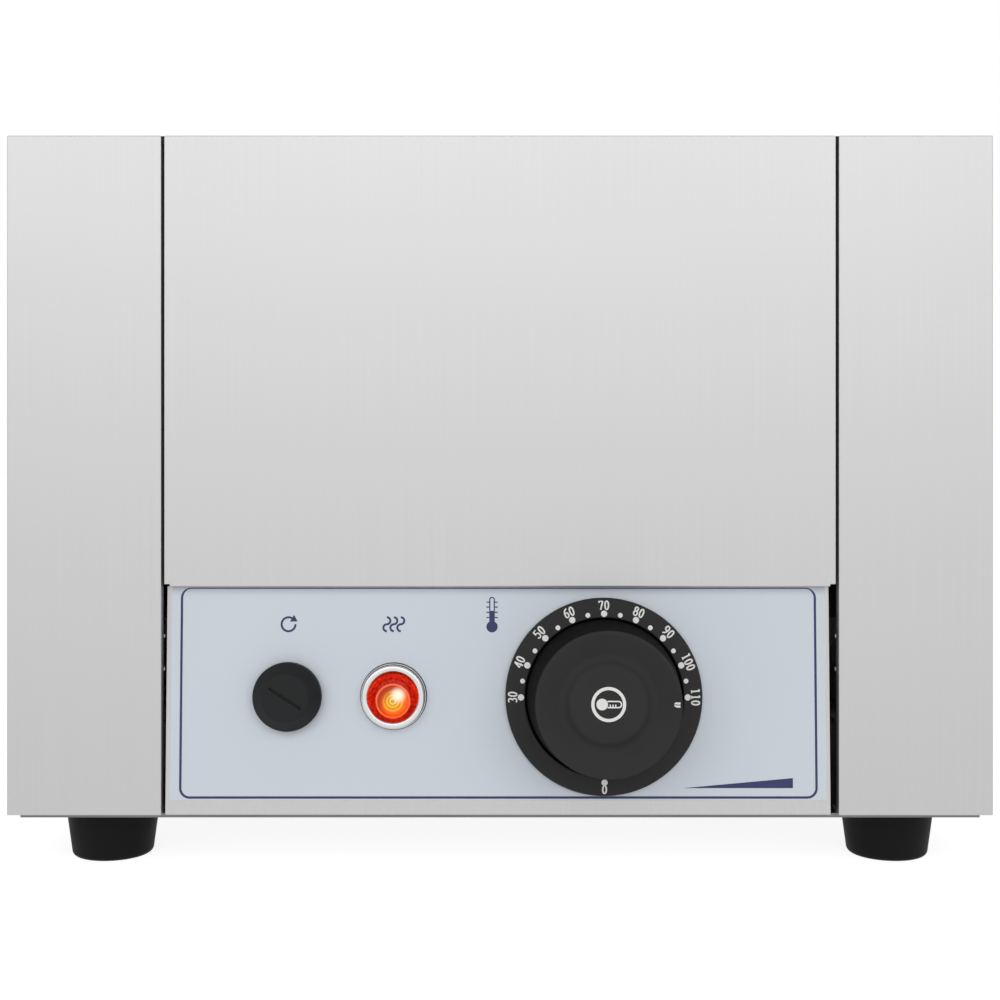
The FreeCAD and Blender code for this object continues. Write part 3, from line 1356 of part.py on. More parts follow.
def wires():
    """Insulated wires between the controls, the element and the terminal block."""
    floor = value("wire_level")
    front_y = value("terminal_y") - value("terminal_depth") / 2
    pole = [value("gland_x") + shift * value("terminal_pitch") for shift in (-1, 0, 1)]
    dial_x = value("dial_x")
    reset_x = value("reset_x")
    lamp_x = value("lamp_x")
    radius = value("wire") / 2
    tab = value("tab_length")
    dial_back = -value("gauge") - value("bracket_gauge") - value("thermostat_depth") - tab
    reset_back = -value("gauge") - value("limiter_depth") - tab
    lamp_back = -value("lamp_barrel_depth") - value("lamp_seat") - tab
    dial_left = panel_point(dial_x - value("thermostat_tab"), 0, dial_back)
    dial_right = panel_point(dial_x + value("thermostat_tab"), 0, dial_back)
    reset_left = panel_point(reset_x - value("limiter_tab"), 0, reset_back)
    reset_right = panel_point(reset_x + value("limiter_tab"), 0, reset_back)
    reset_upper = panel_point(reset_x - value("limiter_tab"), value("lamp_feed_rise"), reset_back)
    lamp_left = panel_point(lamp_x - value("lamp_tab"), 0, lamp_back)
    lamp_right = panel_point(lamp_x + value("lamp_tab"), 0, lamp_back)
    pin_x = value("element_outer")
    pin_y = value("element_front") - value("element_drop_bend")
    pin_z = (value("tank_under") - value("element_tube") / 2 - value("element_drop_bend")
             - value("element_drop") - value("element_pin_length"))
    lane = value("wire_lane")
    lamp_lane = value("lamp_wire_lane")
    low = value("lamp_wire_level")
    heater_lane = value("heater_wire_lane")
    neutral_y = front_y - value("neutral_wire_lane")
    low_y = front_y - lamp_lane

    def back(point, distance):
        return point + Vector(0, distance, 0)

    def level(point, z):
        return Vector(point.x, point.y, z)

    live_turn = back(dial_right, lane)
    lamp_pole = pole[1] + value("lamp_wire_offset")
    routes = {
        "wire_live": [dial_right, live_turn, level(live_turn, floor),
                      Vector(pole[0], live_turn.y, floor), Vector(pole[0], front_y, floor)],
        "wire_link": [dial_left, back(dial_left, lane),
                      Vector(reset_right.x, dial_left.y + lane, dial_left.z), reset_right],
        "wire_heater_live": [reset_left, back(reset_left, heater_lane),
                             Vector(-pin_x, reset_left.y + heater_lane, (reset_left.z + floor) / 2),
                             Vector(-pin_x, pin_y, (reset_left.z + floor) / 2), Vector(-pin_x, pin_y, pin_z)],
        "wire_heater_neutral": [Vector(pin_x, pin_y, pin_z), Vector(pin_x, pin_y, floor),
                                Vector(pin_x, neutral_y, floor), Vector(pole[1], neutral_y, floor),
                                Vector(pole[1], front_y, floor)],
        "wire_earth": [Vector(pole[2], front_y, floor), Vector(pole[2], value("earth_y"), floor),
                       Vector(value("earth_x") - value("earth_bolt") / 2, value("earth_y"), floor)],
    }
    lamp_routes = {
        "wire_lamp_live": [lamp_left, Vector(lamp_left.x, reset_upper.y + lamp_lane, lamp_left.z),
                           Vector(reset_upper.x, reset_upper.y + lamp_lane, reset_upper.z), reset_upper],
        "wire_lamp_neutral": [lamp_right, Vector(lamp_right.x, reset_upper.y, lamp_right.z),
                              Vector(lamp_right.x, reset_upper.y, low), Vector(lamp_right.x, low_y, low),
                              Vector(lamp_pole, low_y, low), Vector(lamp_pole, front_y, low)],
    }
    for label, route in routes.items():
        set_shape(label, tube(rounded_path(route, value("wire_bend")), radius))
    for label, route in lamp_routes.items():
        set_shape(label, tube(rounded_path(route, value("wire_bend")), value("lamp_wire") / 2))


def check_and_write():
    """Stop on any failed object or bad shape, and write one file for each sub-part."""
    doc.recompute()
    failed = [thing.Name for thing in doc.Objects if {"Invalid", "Error"} & set(thing.State)]
    if failed:
        raise RuntimeError(f"failed objects: {failed}")
    for thing in nodes:
        shape = thing.Shape
        if shape.isNull() or not shape.isValid() or not shape.Solids:
            raise RuntimeError(f"{thing.Label} has no valid solid")
    os.makedirs("parts", exist_ok=True)
    for thing in nodes:
        thing.Shape.exportStep(f"parts/{thing.Label}.step")
    print(f"{len(nodes)} sub-parts written")


fill_sheet()
side_panel("side_panel_left", -1)
side_panel("side_panel_right", 1)
front_apron()
rear_panel()
base_plate()
feet()
tank()
control_panel()
control_label()
panel_fixings()
thermostat()
dial_ring()
control_knob()
pilot_lamp()
limiter()
reset_cap()
heating_element()
element_fixings()
probes()
cable_gland()
terminals()
wires()
check_and_write()
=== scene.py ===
import json
import math

import bmesh
import bpy
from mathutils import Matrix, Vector


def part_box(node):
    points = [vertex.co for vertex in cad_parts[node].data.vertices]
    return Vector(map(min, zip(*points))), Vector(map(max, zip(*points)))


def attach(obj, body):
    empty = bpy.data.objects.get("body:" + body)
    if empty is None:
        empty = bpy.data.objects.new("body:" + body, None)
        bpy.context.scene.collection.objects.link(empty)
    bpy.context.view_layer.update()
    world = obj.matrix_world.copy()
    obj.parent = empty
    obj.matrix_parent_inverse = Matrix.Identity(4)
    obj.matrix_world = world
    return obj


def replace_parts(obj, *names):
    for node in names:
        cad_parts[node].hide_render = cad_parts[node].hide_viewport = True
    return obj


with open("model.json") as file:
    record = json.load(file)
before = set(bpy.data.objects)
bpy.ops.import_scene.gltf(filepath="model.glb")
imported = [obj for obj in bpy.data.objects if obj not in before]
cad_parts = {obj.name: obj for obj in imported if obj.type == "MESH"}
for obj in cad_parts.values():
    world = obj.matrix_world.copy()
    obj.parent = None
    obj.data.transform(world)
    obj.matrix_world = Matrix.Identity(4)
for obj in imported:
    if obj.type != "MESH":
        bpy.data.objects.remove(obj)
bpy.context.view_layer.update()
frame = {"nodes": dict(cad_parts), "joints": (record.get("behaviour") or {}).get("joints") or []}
nodes = frame["nodes"]


# Outer casing: two side panels folded round the front and rear edges, the apron between them,
# the rear panel and the recessed control panel. 1 mm stainless sheet, laser cut, press-braked
# and screwed to the base plate.
def linear(hex_colour):
    """An sRGB hex colour as linear red, green, blue and alpha."""
    channels = [int(hex_colour[i:i + 2], 16) / 255 for i in (1, 3, 5)]
    return [c / 12.92 if c <= 0.04045 else ((c + 0.055) / 1.055) ** 2.4 for c in channels] + [1]


def add_node(tree, kind, inputs=None, **settings):
    """A new node with its settings; an input is a value, or the socket that feeds it."""
    made = tree.nodes.new(kind)
    for name, value in settings.items():
        setattr(made, name, value)
    for name, value in (inputs or {}).items():
        if isinstance(value, bpy.types.NodeSocket):
            tree.links.new(value, made.inputs[name])
        else:
            made.inputs[name].default_value = value
    return made


def new_finish(name):
    """A material with an empty tree, and the place of its own object as a socket, in metres."""
    made = bpy.data.materials.new(name)
    made.use_nodes = True
    made.node_tree.nodes.clear()
    place = add_node(made.node_tree, "ShaderNodeTexCoord").outputs["Object"]
    return made, made.node_tree, place


def show(tree, shader):
    """The shader goes to the surface output."""
    add_node(tree, "ShaderNodeOutputMaterial", {"Surface": shader.outputs[0]})


def dress(finish, *names):
    """Gives CAD nodes a finish in place of the plain one that they came with."""
    for name in names:
        nodes[name].data.materials.clear()
        nodes[name].data.materials.append(finish)


# Brushed stainless: a grey mirror that the belt has scratched, so that it shows only broad soft
# light, with hair lines up and down. The lines are drawn a few times too wide, to show at all.
hair_width, hair_length = 0.5, 70.0
smudge_size = 90.0
brushed_steel, tree, place = new_finish("stainless_sheet_belt_brushed")
along = add_node(tree, "ShaderNodeMapping",
                 {"Vector": place, "Scale": (1000 / hair_width, 1000 / hair_width, 1000 / hair_length)})
hairs = add_node(tree, "ShaderNodeTexNoise", {"Vector": along.outputs[0], "Scale": 1, "Detail": 3})
smudges = add_node(tree, "ShaderNodeTexNoise", {"Vector": place, "Scale": 1000 / smudge_size, "Detail": 2})
both = add_node(tree, "ShaderNodeMath", {0: hairs.outputs["Fac"], 1: smudges.outputs["Fac"]}, operation="ADD")
gloss = add_node(tree, "ShaderNodeMapRange",
                 {"Value": both.outputs[0], "From Max": 2, "To Min": 0.44, "To Max": 0.52})
tone = add_node(tree, "ShaderNodeMix", {0: hairs.outputs["Fac"], 6: linear("#B7B7B7"), 7: linear("#BEBEBE")},
                data_type="RGBA")
scratch = add_node(tree, "ShaderNodeBump", {"Height": hairs.outputs["Fac"], "Strength": 0.04, "Distance": 0.00002})
show(tree, add_node(tree, "ShaderNodeBsdfPrincipled", {
    "Base Color": tone.outputs[2], "Metallic": 1, "Roughness": gloss.outputs[0], "Normal": scratch.outputs[0]}))
dress(brushed_steel, "side_panel_left", "side_panel_right", "front_apron", "rear_panel", "control_panel")


# Tank: the well for water and the pan, deep-drawn from one stainless blank, its flange lying
# under the casing's lips. Drawing over a die leaves an even satin with no direction. Its grit is
# drawn coarse, to show at all.
grit_size, draw_mark_size = 0.6, 60.0
drawn_steel, tree, place = new_finish("stainless_tank_deep_drawn")
grit = add_node(tree, "ShaderNodeTexNoise", {"Vector": place, "Scale": 1000 / grit_size, "Detail": 2})
draw_marks = add_node(tree, "ShaderNodeTexNoise", {"Vector": place, "Scale": 1000 / draw_mark_size, "Detail": 3})
gloss = add_node(tree, "ShaderNodeMapRange", {"Value": draw_marks.outputs["Fac"], "To Min": 0.26, "To Max": 0.42})
tone = add_node(tree, "ShaderNodeMix", {0: grit.outputs["Fac"], 6: linear("#BEBFC0"), 7: linear("#C6C7C8")},
                data_type="RGBA")
orange_peel = add_node(tree, "ShaderNodeBump", {"Height": grit.outputs["Fac"], "Strength": 0.08, "Distance": 0.00003})
show(tree, add_node(tree, "ShaderNodeBsdfPrincipled", {
    "Base Color": tone.outputs[2], "Metallic": 1, "Roughness": gloss.outputs[0], "Normal": orange_peel.outputs[0]}))
dress(drawn_steel, "tank")


# Sealing beads: the slots between the lips, in line with the front and rear seams, are filled with
# black silicone so that no water runs into the casing. Each bead is drawn off by a finger, so its
# face is a little hollow, and smeared to a dull shine.
seam_gap, bead_inset, bead_below, bead_hollow, bead_rows = 0.95, 0.35, 0.1, 0.08, 8
bead_toe, bead_toe_depth = 1.45, 2.8
lip_width, lip_gauge = 15.0, 1.0
apron_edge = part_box("front_apron")[1].x * 1000
casing_front, casing_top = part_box("side_panel_left")[0].y * 1000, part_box("side_panel_left")[1].z * 1000
smear_size = 4.0
sealant, tree, place = new_finish("silicone_sealant_black")
smears = add_node(tree, "ShaderNodeTexNoise", {"Vector": place, "Scale": 1000 / smear_size, "Detail": 3})
tone = add_node(tree, "ShaderNodeMix", {0: smears.outputs["Fac"], 6: linear("#0C0C0C"), 7: linear("#131313")},
                data_type="RGBA")
gloss = add_node(tree, "ShaderNodeMapRange", {"Value": smears.outputs["Fac"], "To Min": 0.5, "To Max": 0.7})
show(tree, add_node(tree, "ShaderNodeBsdfPrincipled", {
    "Base Color": tone.outputs[2], "Roughness": gloss.outputs[0], "IOR": 1.43, "Specular IOR Level": 0.2}))


def set_in_place(name, shape, finish, body):
    """A shape becomes a piece of the object: its finish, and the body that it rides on."""
    data = bpy.data.meshes.new(name)
    shape.to_mesh(data)
    shape.free()
    data.materials.append(finish)
    piece = bpy.data.objects.new(name, data)
    bpy.context.scene.collection.objects.link(piece)
    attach(piece, body)
    return piece


for end, end_sign in (("front", -1), ("rear", 1)):
    for side, side_sign in (("left", -1), ("right", 1)):
        bead = bmesh.new()
        rows = []
        for i in range(bead_rows + 1):
            across = seam_gap * i / bead_rows
            top = casing_top - bead_below - bead_hollow * (1 - (2 * i / bead_rows - 1) ** 2)
            side_view = ((bead_inset, top), (lip_width, top), (lip_width, casing_top - lip_gauge),
                         (bead_toe, casing_top - lip_gauge), (bead_toe, casing_top - bead_toe_depth),
                         (bead_inset, casing_top - bead_toe_depth))
            rows.append([bead.verts.new((side_sign * (apron_edge + across) / 1000,
                                         -end_sign * (casing_front + inward) / 1000, z / 1000))
                         for inward, z in side_view])
        bead.faces.new(rows[0])
        bead.faces.new(rows[-1])
        for row, beside in zip(rows, rows[1:]):
            for i in range(len(row)):
                bead.faces.new((row[i - 1], row[i], beside[i], beside[i - 1]))
        bmesh.ops.recalc_face_normals(bead, faces=bead.faces)
        set_in_place(f"seam_bead_{end}_{side}", bead, sealant, "casing")


# Base plate and heat shield: a flat plate whose edge just shows under the casing, and a folded tray
# inside, both cut from mill-finish sheet. It is left as the rolls made it, duller and darker than
# the casing, with faint cloudy patches.
cloud_size, roll_line_width, roll_line_length = 25.0, 0.8, 120.0
mill_sheet, tree, place = new_finish("steel_sheet_mill_finish")
along = add_node(tree, "ShaderNodeMapping", {
    "Vector": place, "Scale": (1000 / roll_line_width, 1000 / roll_line_length, 1000 / roll_line_width)})
roll_lines = add_node(tree, "ShaderNodeTexNoise", {"Vector": along.outputs[0], "Scale": 1, "Detail": 2})
clouds = add_node(tree, "ShaderNodeTexNoise", {"Vector": place, "Scale": 1000 / cloud_size, "Detail": 4})
tone = add_node(tree, "ShaderNodeMix", {0: clouds.outputs["Fac"], 6: linear("#6E6F71"), 7: linear("#828385")},
                data_type="RGBA")
gloss = add_node(tree, "ShaderNodeMapRange", {"Value": roll_lines.outputs["Fac"], "To Min": 0.42, "To Max": 0.6})
show(tree, add_node(tree, "ShaderNodeBsdfPrincipled", {
    "Base Color": tone.outputs[2], "Metallic": 1, "Roughness": gloss.outputs[0]}))
dress(mill_sheet, "base_plate", "heat_shield")


# Feet and seals: black rubber, moulded. Each foot is a short cone with a recess for its bolt;
# the cap's ring and the gland's sleeve are of the same rubber. It is matt, with a fine grain
# from the mould, drawn coarse, and a little dust in it.
rubber_grain, dust_size = 0.7, 9.0
rubber, tree, place = new_finish("rubber_moulded_black")
grain = add_node(tree, "ShaderNodeTexNoise", {"Vector": place, "Scale": 1000 / rubber_grain, "Detail": 3})
dust = add_node(tree, "ShaderNodeTexNoise", {"Vector": place, "Scale": 1000 / dust_size, "Detail": 4})
tone = add_node(tree, "ShaderNodeMix", {0: dust.outputs["Fac"], 6: linear("#0C0C0D"), 7: linear("#141415")},
                data_type="RGBA")
gloss = add_node(tree, "ShaderNodeMapRange", {"Value": dust.outputs["Fac"], "To Min": 0.5, "To Max": 0.72})
skin = add_node(tree, "ShaderNodeBump", {"Height": grain.outputs["Fac"], "Strength": 0.12, "Distance": 0.0001})
show(tree, add_node(tree, "ShaderNodeBsdfPrincipled", {
    "Base Color": tone.outputs[2], "Roughness": gloss.outputs[0], "IOR": 1.52, "Specular IOR Level": 0.1,
    "Normal": skin.outputs[0]}))
dress(rubber, "foot_front_left", "foot_front_right", "foot_rear_left", "foot_rear_right", "reset_seal", "gland_seal")


# Control label: a pale blue polyester film, screen printed and stuck to the control panel.
# Its face has a very fine velvet, drawn coarse, that breaks up reflections, and the colour is even.
velvet_size, unevenness = 0.35, 40.0
film, tree, place = new_finish("polyester_film_printed_velvet")
velvet = add_node(tree, "ShaderNodeTexNoise", {"Vector": place, "Scale": 1000 / velvet_size, "Detail": 1})
drift = add_node(tree, "ShaderNodeTexNoise", {"Vector": place, "Scale": 1000 / unevenness, "Detail": 1})
tone = add_node(tree, "ShaderNodeMix", {0: drift.outputs["Fac"], 6: linear("#D1D9E1"), 7: linear("#D4DCE4")},
                data_type="RGBA")
gloss = add_node(tree, "ShaderNodeMapRange", {"Value": velvet.outputs["Fac"], "To Min": 0.38, "To Max": 0.5})
nap = add_node(tree, "ShaderNodeBump", {"Height": velvet.outputs["Fac"], "Strength": 0.05, "Distance": 0.00003})
show(tree, add_node(tree, "ShaderNodeBsdfPrincipled", {
    "Base Color": tone.outputs[2], "Roughness": gloss.outputs[0], "IOR": 1.6, "Specular IOR Level": 0.3,
    "Normal": nap.outputs[0]}))
dress(film, "control_label")


# Printing on the label: a frame line with rounded corners, a thermometer, and plain signs for
# reset, heating and more heat, all screen printed in one dark blue ink. The ink is drawn
# thicker than the real few hundredths, so that it stays clear of the film.
turn = next(j for j in frame["joints"] if j["name"] == "knob_turn")
outward = Vector(turn["axis"])
right = Vector((1, 0, 0))
up = outward.cross(right)
dial_centre = Vector(turn["pos_m"])
panel_centre = Vector((0, dial_centre.y, dial_centre.z))
ink_depth = 0.06
ray_start, weld_distance = 0.1, 1e-7


def arc(x, y, radius, start, end, tall=None, steps=24):
    """Points on an arc round (x, y), from one angle to another in degrees, counted from the right."""
    angles = [math.radians(start + (end - start) * i / steps) for i in range(steps + 1)]
    return [(x + radius * math.cos(a), y + (tall or radius) * math.sin(a)) for a in angles]


def stroke(points, thick, thin=None, closed=False):
    """The four-cornered faces of a pen stroke along points; a level run is as wide as thin says."""
    thin = thin or thick
    pairs = []
    for i, (x, y) in enumerate(points):
        before = points[i - 1] if i or closed else points[i]
        after = points[(i + 1) % len(points)] if i + 1 < len(points) or closed else points[i]
        run = Vector((after[0] - before[0], after[1] - before[1])).normalized()
        half = (thin + (thick - thin) * abs(run.y)) / 2
        pairs.append(((x - run.y * half, y + run.x * half), (x + run.y * half, y - run.x * half)))
    ends = list(zip(pairs, pairs[1:] + pairs[:1]))
    return [[b_right, c_right, c_left, b_left]
            for (b_left, b_right), (c_left, c_right) in (ends if closed else ends[:-1])]


def lay_on(carrier, centre):
    """A function that drops a point given in mm, across and up from centre, onto a CAD node's face."""
    def spot(x, y, lift=0.0):
        start = centre + right * (x / 1000) + up * (y / 1000) + outward * ray_start
        hit, point, _, _ = nodes[carrier].ray_cast(start, -outward)
        assert hit, (carrier, x, y)
        return point + outward * (lift / 1000)
    return spot


def print_on(name, faces, spot, finish, body):
    """One printed piece: flat faces in mm, laid on their carrier and given the ink's depth."""
    mesh = bmesh.new()
    for corners in faces:
        made = mesh.faces.new([mesh.verts.new(spot(x, y, ink_depth)) for x, y in corners])
        made.normal_update()
        if made.normal.dot(outward) < 0:
            made.normal_flip()
    bmesh.ops.remove_doubles(mesh, verts=mesh.verts, dist=weld_distance)
    piece = set_in_place(name, mesh, finish, body)
    thickness = piece.modifiers.new("ink_depth", "SOLIDIFY")
    thickness.thickness = ink_depth / 1000
    thickness.offset = -1


# Screen ink: an even dark blue, half matt, with specks from the mesh, which are drawn coarse.
ink_speck = 0.4
blue_ink, tree, place = new_finish("screen_ink_dark_blue")
specks = add_node(tree, "ShaderNodeTexNoise", {"Vector": place, "Scale": 1000 / ink_speck, "Detail": 1})
tone = add_node(tree, "ShaderNodeMix", {0: specks.outputs["Fac"], 6: linear("#363A62"), 7: linear("#3F436B")},
                data_type="RGBA")
show(tree, add_node(tree, "ShaderNodeBsdfPrincipled", {
    "Base Color": tone.outputs[2], "Roughness": 0.45, "Specular IOR Level": 0.25}))

bpy.context.view_layer.update()
on_label = lay_on("control_label", panel_centre)
line_width, head_line_width, line_corner = 0.8, 0.35, 3.2
line_left, line_right, line_bottom, line_top = -109.7, 108.6, -34.6, 36.76
inset_left, inset_right = line_left + line_corner, line_right - line_corner
inset_bottom, inset_top = line_bottom + line_corner, line_top - line_corner


def rounded(radius, head_rise):
    """The outline of the frame line's outer or inner edge; its head is raised by head_rise."""
    head = radius + head_rise
    return (arc(inset_right, inset_top, radius, 0, 90, tall=head)
            + arc(inset_left, inset_top, radius, 90, 180, tall=head)
            + arc(inset_left, inset_bottom, radius, 180, 270)
            + arc(inset_right, inset_bottom, radius, 270, 360))


outer_edge = rounded(line_corner + line_width / 2, 0)
inner_edge = rounded(line_corner - line_width / 2, line_width - head_line_width)
frame_line = [[outer_edge[i - 1], outer_edge[i], inner_edge[i], inner_edge[i - 1]]
              for i in range(len(outer_edge))]
print_on("label_frame_line", frame_line, on_label, blue_ink, "casing")

stem_x, bulb_y, bulb_radius, neck_angle = -2.75, 23.75, 1.95, 28
stem_half, stem_top, mercury_top, stem_foot, sign_line = 0.78, 33.05, 29.2, 29.21, 0.38
tick_rows, tick_length = (26.9, 28.7, 30.5, 32.2), 1.0
stem_edge = stem_half + sign_line / 2
thermometer = [arc(stem_x, bulb_y, bulb_radius, 90 + neck_angle, 450 - neck_angle)
               + [(stem_x + stem_edge, mercury_top), (stem_x - stem_edge, mercury_top)]]
thermometer += stroke([(stem_x - stem_half, stem_foot)] + arc(stem_x, stem_top, stem_half, 180, 0)
                      + [(stem_x + stem_half, stem_foot)], sign_line)
for row in tick_rows:
    for side in (-1, 1):
        thermometer += stroke([(stem_x + side * stem_edge, row), (stem_x + side * (stem_edge + tick_length), row)],
                              sign_line)
print_on("label_thermometer", thermometer, on_label, blue_ink, "casing")

reset_x, lamp_x, sign_y = -72.9, -36.6, 24.6
arrow_radius, sign_stroke, head_length, head_half = 2.4, 0.7, 2.2, 1.35
gap_angle = 60
tip_x, tip_y = arc(reset_x, sign_y, arrow_radius, gap_angle, gap_angle, steps=1)[0]
along_x, along_y = math.sin(math.radians(gap_angle)), -math.cos(math.radians(gap_angle))
circling_arrow = stroke(arc(reset_x, sign_y, arrow_radius, gap_angle, 360), sign_stroke)
circling_arrow += [[(tip_x + along_x * head_length, tip_y + along_y * head_length),
                    (tip_x - along_y * head_half, tip_y + along_x * head_half),
                    (tip_x + along_y * head_half, tip_y - along_x * head_half)]]
print_on("label_reset_sign", circling_arrow, on_label, blue_ink, "casing")

wave_pitch, wave_radius, wave_steps = 2.4, 1.2, 12
heat_waves = []
for column in (-1, 0, 1):
    wave_x = lamp_x + column * wave_pitch
    heat_waves += stroke(arc(wave_x, sign_y + wave_radius, wave_radius, 90, -90, steps=wave_steps)
                         + arc(wave_x, sign_y - wave_radius, wave_radius, 90, 270, steps=wave_steps)[1:],
                         sign_stroke)
print_on("label_heat_sign", heat_waves, on_label, blue_ink, "casing")

wedge_left, wedge_right, wedge_bottom, wedge_height = 63.0, 100.5, -31.4, 3.4
print_on("label_heat_wedge", [[(wedge_left, wedge_bottom), (wedge_right, wedge_bottom),
                               (wedge_right, wedge_bottom + wedge_height)]],
         on_label, blue_ink, "casing")


# Dial ring: the fixed scale round the knob, moulded in black ABS and screwed down on the label. Its
# mould was spark-eroded, which leaves a dull skin of fine grain, drawn coarse. On the ring and on the
# knob, the walls between them are painted near black as painted shade, and made fully rough.
abs_grain, flow_size = 0.45, 14.0
painted_shade_inner, painted_shade_outer, painted_shade_fade = 24.0, 27.05, 0.2
black_abs, tree, place = new_finish("abs_moulded_black_fine_grain")
grain = add_node(tree, "ShaderNodeTexNoise", {"Vector": place, "Scale": 1000 / abs_grain, "Detail": 2})
flow = add_node(tree, "ShaderNodeTexNoise", {"Vector": place, "Scale": 1000 / flow_size, "Detail": 2})
tone = add_node(tree, "ShaderNodeMix", {0: flow.outputs["Fac"], 6: linear("#2F2F30"), 7: linear("#353536")},
                data_type="RGBA")
offset = add_node(tree, "ShaderNodeVectorMath", {0: place, 1: dial_centre}, operation="SUBTRACT")
sideways = add_node(tree, "ShaderNodeVectorMath", {0: offset.outputs[0], 1: outward}, operation="CROSS_PRODUCT")
from_axis = add_node(tree, "ShaderNodeVectorMath", {0: sideways.outputs[0]}, operation="LENGTH")
painted_shade_begins, painted_shade_stops = (add_node(tree, "ShaderNodeMapRange", {
    "Value": from_axis.outputs["Value"], "From Min": radius / 1000, "From Max": (radius + painted_shade_fade) / 1000})
    for radius in (painted_shade_inner, painted_shade_outer))
painted_shade_wall = add_node(tree, "ShaderNodeMath", {0: painted_shade_begins.outputs[0], 1: painted_shade_stops.outputs[0]}, operation="SUBTRACT")
# Painted shade: the walls between ring and knob go near black, standing in for the shade there.
tone = add_node(tree, "ShaderNodeMix", {0: painted_shade_wall.outputs[0], 6: tone.outputs[2], 7: linear("#0A0A0A")},
                data_type="RGBA")
gloss = add_node(tree, "ShaderNodeMapRange", {"Value": grain.outputs["Fac"], "To Min": 0.62, "To Max": 0.74})
gloss = add_node(tree, "ShaderNodeMath", {0: gloss.outputs[0], 1: painted_shade_wall.outputs[0]}, operation="MAXIMUM")
skin = add_node(tree, "ShaderNodeBump", {"Height": grain.outputs["Fac"], "Strength": 0.06, "Distance": 0.00004})
show(tree, add_node(tree, "ShaderNodeBsdfPrincipled", {
    "Base Color": tone.outputs[2], "Roughness": gloss.outputs[0], "IOR": 1.53, "Specular IOR Level": 0.1,
    "Normal": skin.outputs[0]}))
dress(black_abs, "dial_ring")


# Scale on the ring: dots every five degrees Celsius and a number every ten, from 30 on the left
# over the top to 110 on the right, with an off mark at the bottom. Hot stamped in foil, which is a
# clean half-matt white, a little uneven where the die pressed less.
white_foil, tree, place = new_finish("hot_stamped_white_foil")
specks = add_node(tree, "ShaderNodeTexNoise", {"Vector": place, "Scale": 1000 / ink_speck, "Detail": 2})
tone = add_node(tree, "ShaderNodeMix", {0: specks.outputs["Fac"], 6: linear("#DEDEDC"), 7: linear("#F0F0EE")},
                data_type="RGBA")
show(tree, add_node(tree, "ShaderNodeBsdfPrincipled", {
    "Base Color": tone.outputs[2], "Roughness": 0.5, "Specular IOR Level": 0.3}))

digit_height, digit_pitch, digit_shift = 3.2, 2.0, 0.14
thick_pen, thin_pen = 0.17, 0.11
digit_strokes = {
    "0": [arc(0.26, 0.5, 0.19, 0, 360, tall=0.45)],
    "1": [[(0.27, 0.02), (0.27, 0.98)], [(0.27, 0.96), (0.1, 0.84)], [(0.1, 0.05), (0.44, 0.05)]],
    "3": [arc(0.23, 0.73, 0.18, 150, -90, tall=0.22), arc(0.23, 0.28, 0.21, 90, -150, tall=0.23)],
    "4": [[(0.37, 0.02), (0.37, 0.98)], [(0.37, 0.96), (0.03, 0.3)], [(0.02, 0.3), (0.52, 0.3)]],
    "5": [[(0.1, 0.93), (0.45, 0.93)], [(0.11, 0.95), (0.09, 0.52)], arc(0.23, 0.33, 0.22, 125, -150, tall=0.28)],
    "6": [arc(0.26, 0.29, 0.19, 0, 360, tall=0.25), arc(0.5, 0.3, 0.43, 95, 180, tall=0.66)],
    "7": [[(0.06, 0.93), (0.5, 0.93)], [(0.08, 0.95), (0.08, 0.78)], [(0.46, 0.93), (0.2, 0.02)]],
    "8": [arc(0.26, 0.74, 0.16, 0, 360, tall=0.21), arc(0.26, 0.28, 0.2, 0, 360, tall=0.24)],
    "9": [arc(0.26, 0.71, 0.19, 0, 360, tall=0.25), arc(0.02, 0.7, 0.43, -85, 0, tall=0.66)],
}
number_radius, dot_radius, off_dot_radius = 31.3, 28.45, 28.85
big_dot, small_dot = 2.15, 1.65
first_mark, top_mark, last_mark, mark_step, number_step = 30, 70, 110, 5, 10
number_spacing, off_angle = 22.5, 270


def scale_angle(value):
    """The dial angle of a temperature in degrees, counted from the right."""
    return 90 - (value - top_mark) * number_spacing / number_step


def turned(faces, angle, radius):
    """Faces in mm bent round the dial, their foot towards its centre."""
    return [[(math.cos(a) * r, math.sin(a) * r) for a, r in
             ((math.radians(angle) - x / radius, radius + y) for x, y in corners)] for corners in faces]


def number(text, angle):
    """The faces of a number at a dial angle, its top outward."""
    faces = []
    for i, digit in enumerate(text):
        left = (i - len(text) / 2) * digit_pitch
        for points in digit_strokes[digit]:
            pen = stroke(points, thick_pen, thin_pen)
            faces += [[(left + x * digit_height + digit_shift, (y - 0.5) * digit_height) for x, y in corners]
                      for corners in pen]
    return turned(faces, angle, number_radius)


def circle(x, y, radius, corners=24):
    """The corners of a round outline, each given once."""
    return arc(x, y, radius, 0, 360 - 360 / corners, steps=corners - 1)


def dot(angle, width, radius):
    """A round dot on the scale."""
    return turned([circle(0, 0, width / 2)], angle, radius)


on_ring = lay_on("dial_ring", dial_centre)
marks = dot(off_angle, big_dot, off_dot_radius) + number("0", off_angle)
for value in range(first_mark, last_mark + 1, mark_step):
    numbered = value % number_step == 0
    marks += dot(scale_angle(value), big_dot if numbered else small_dot, dot_radius)
    marks += number(str(value), scale_angle(value)) if numbered else []
print_on("dial_scale", marks, on_ring, white_foil, "casing")


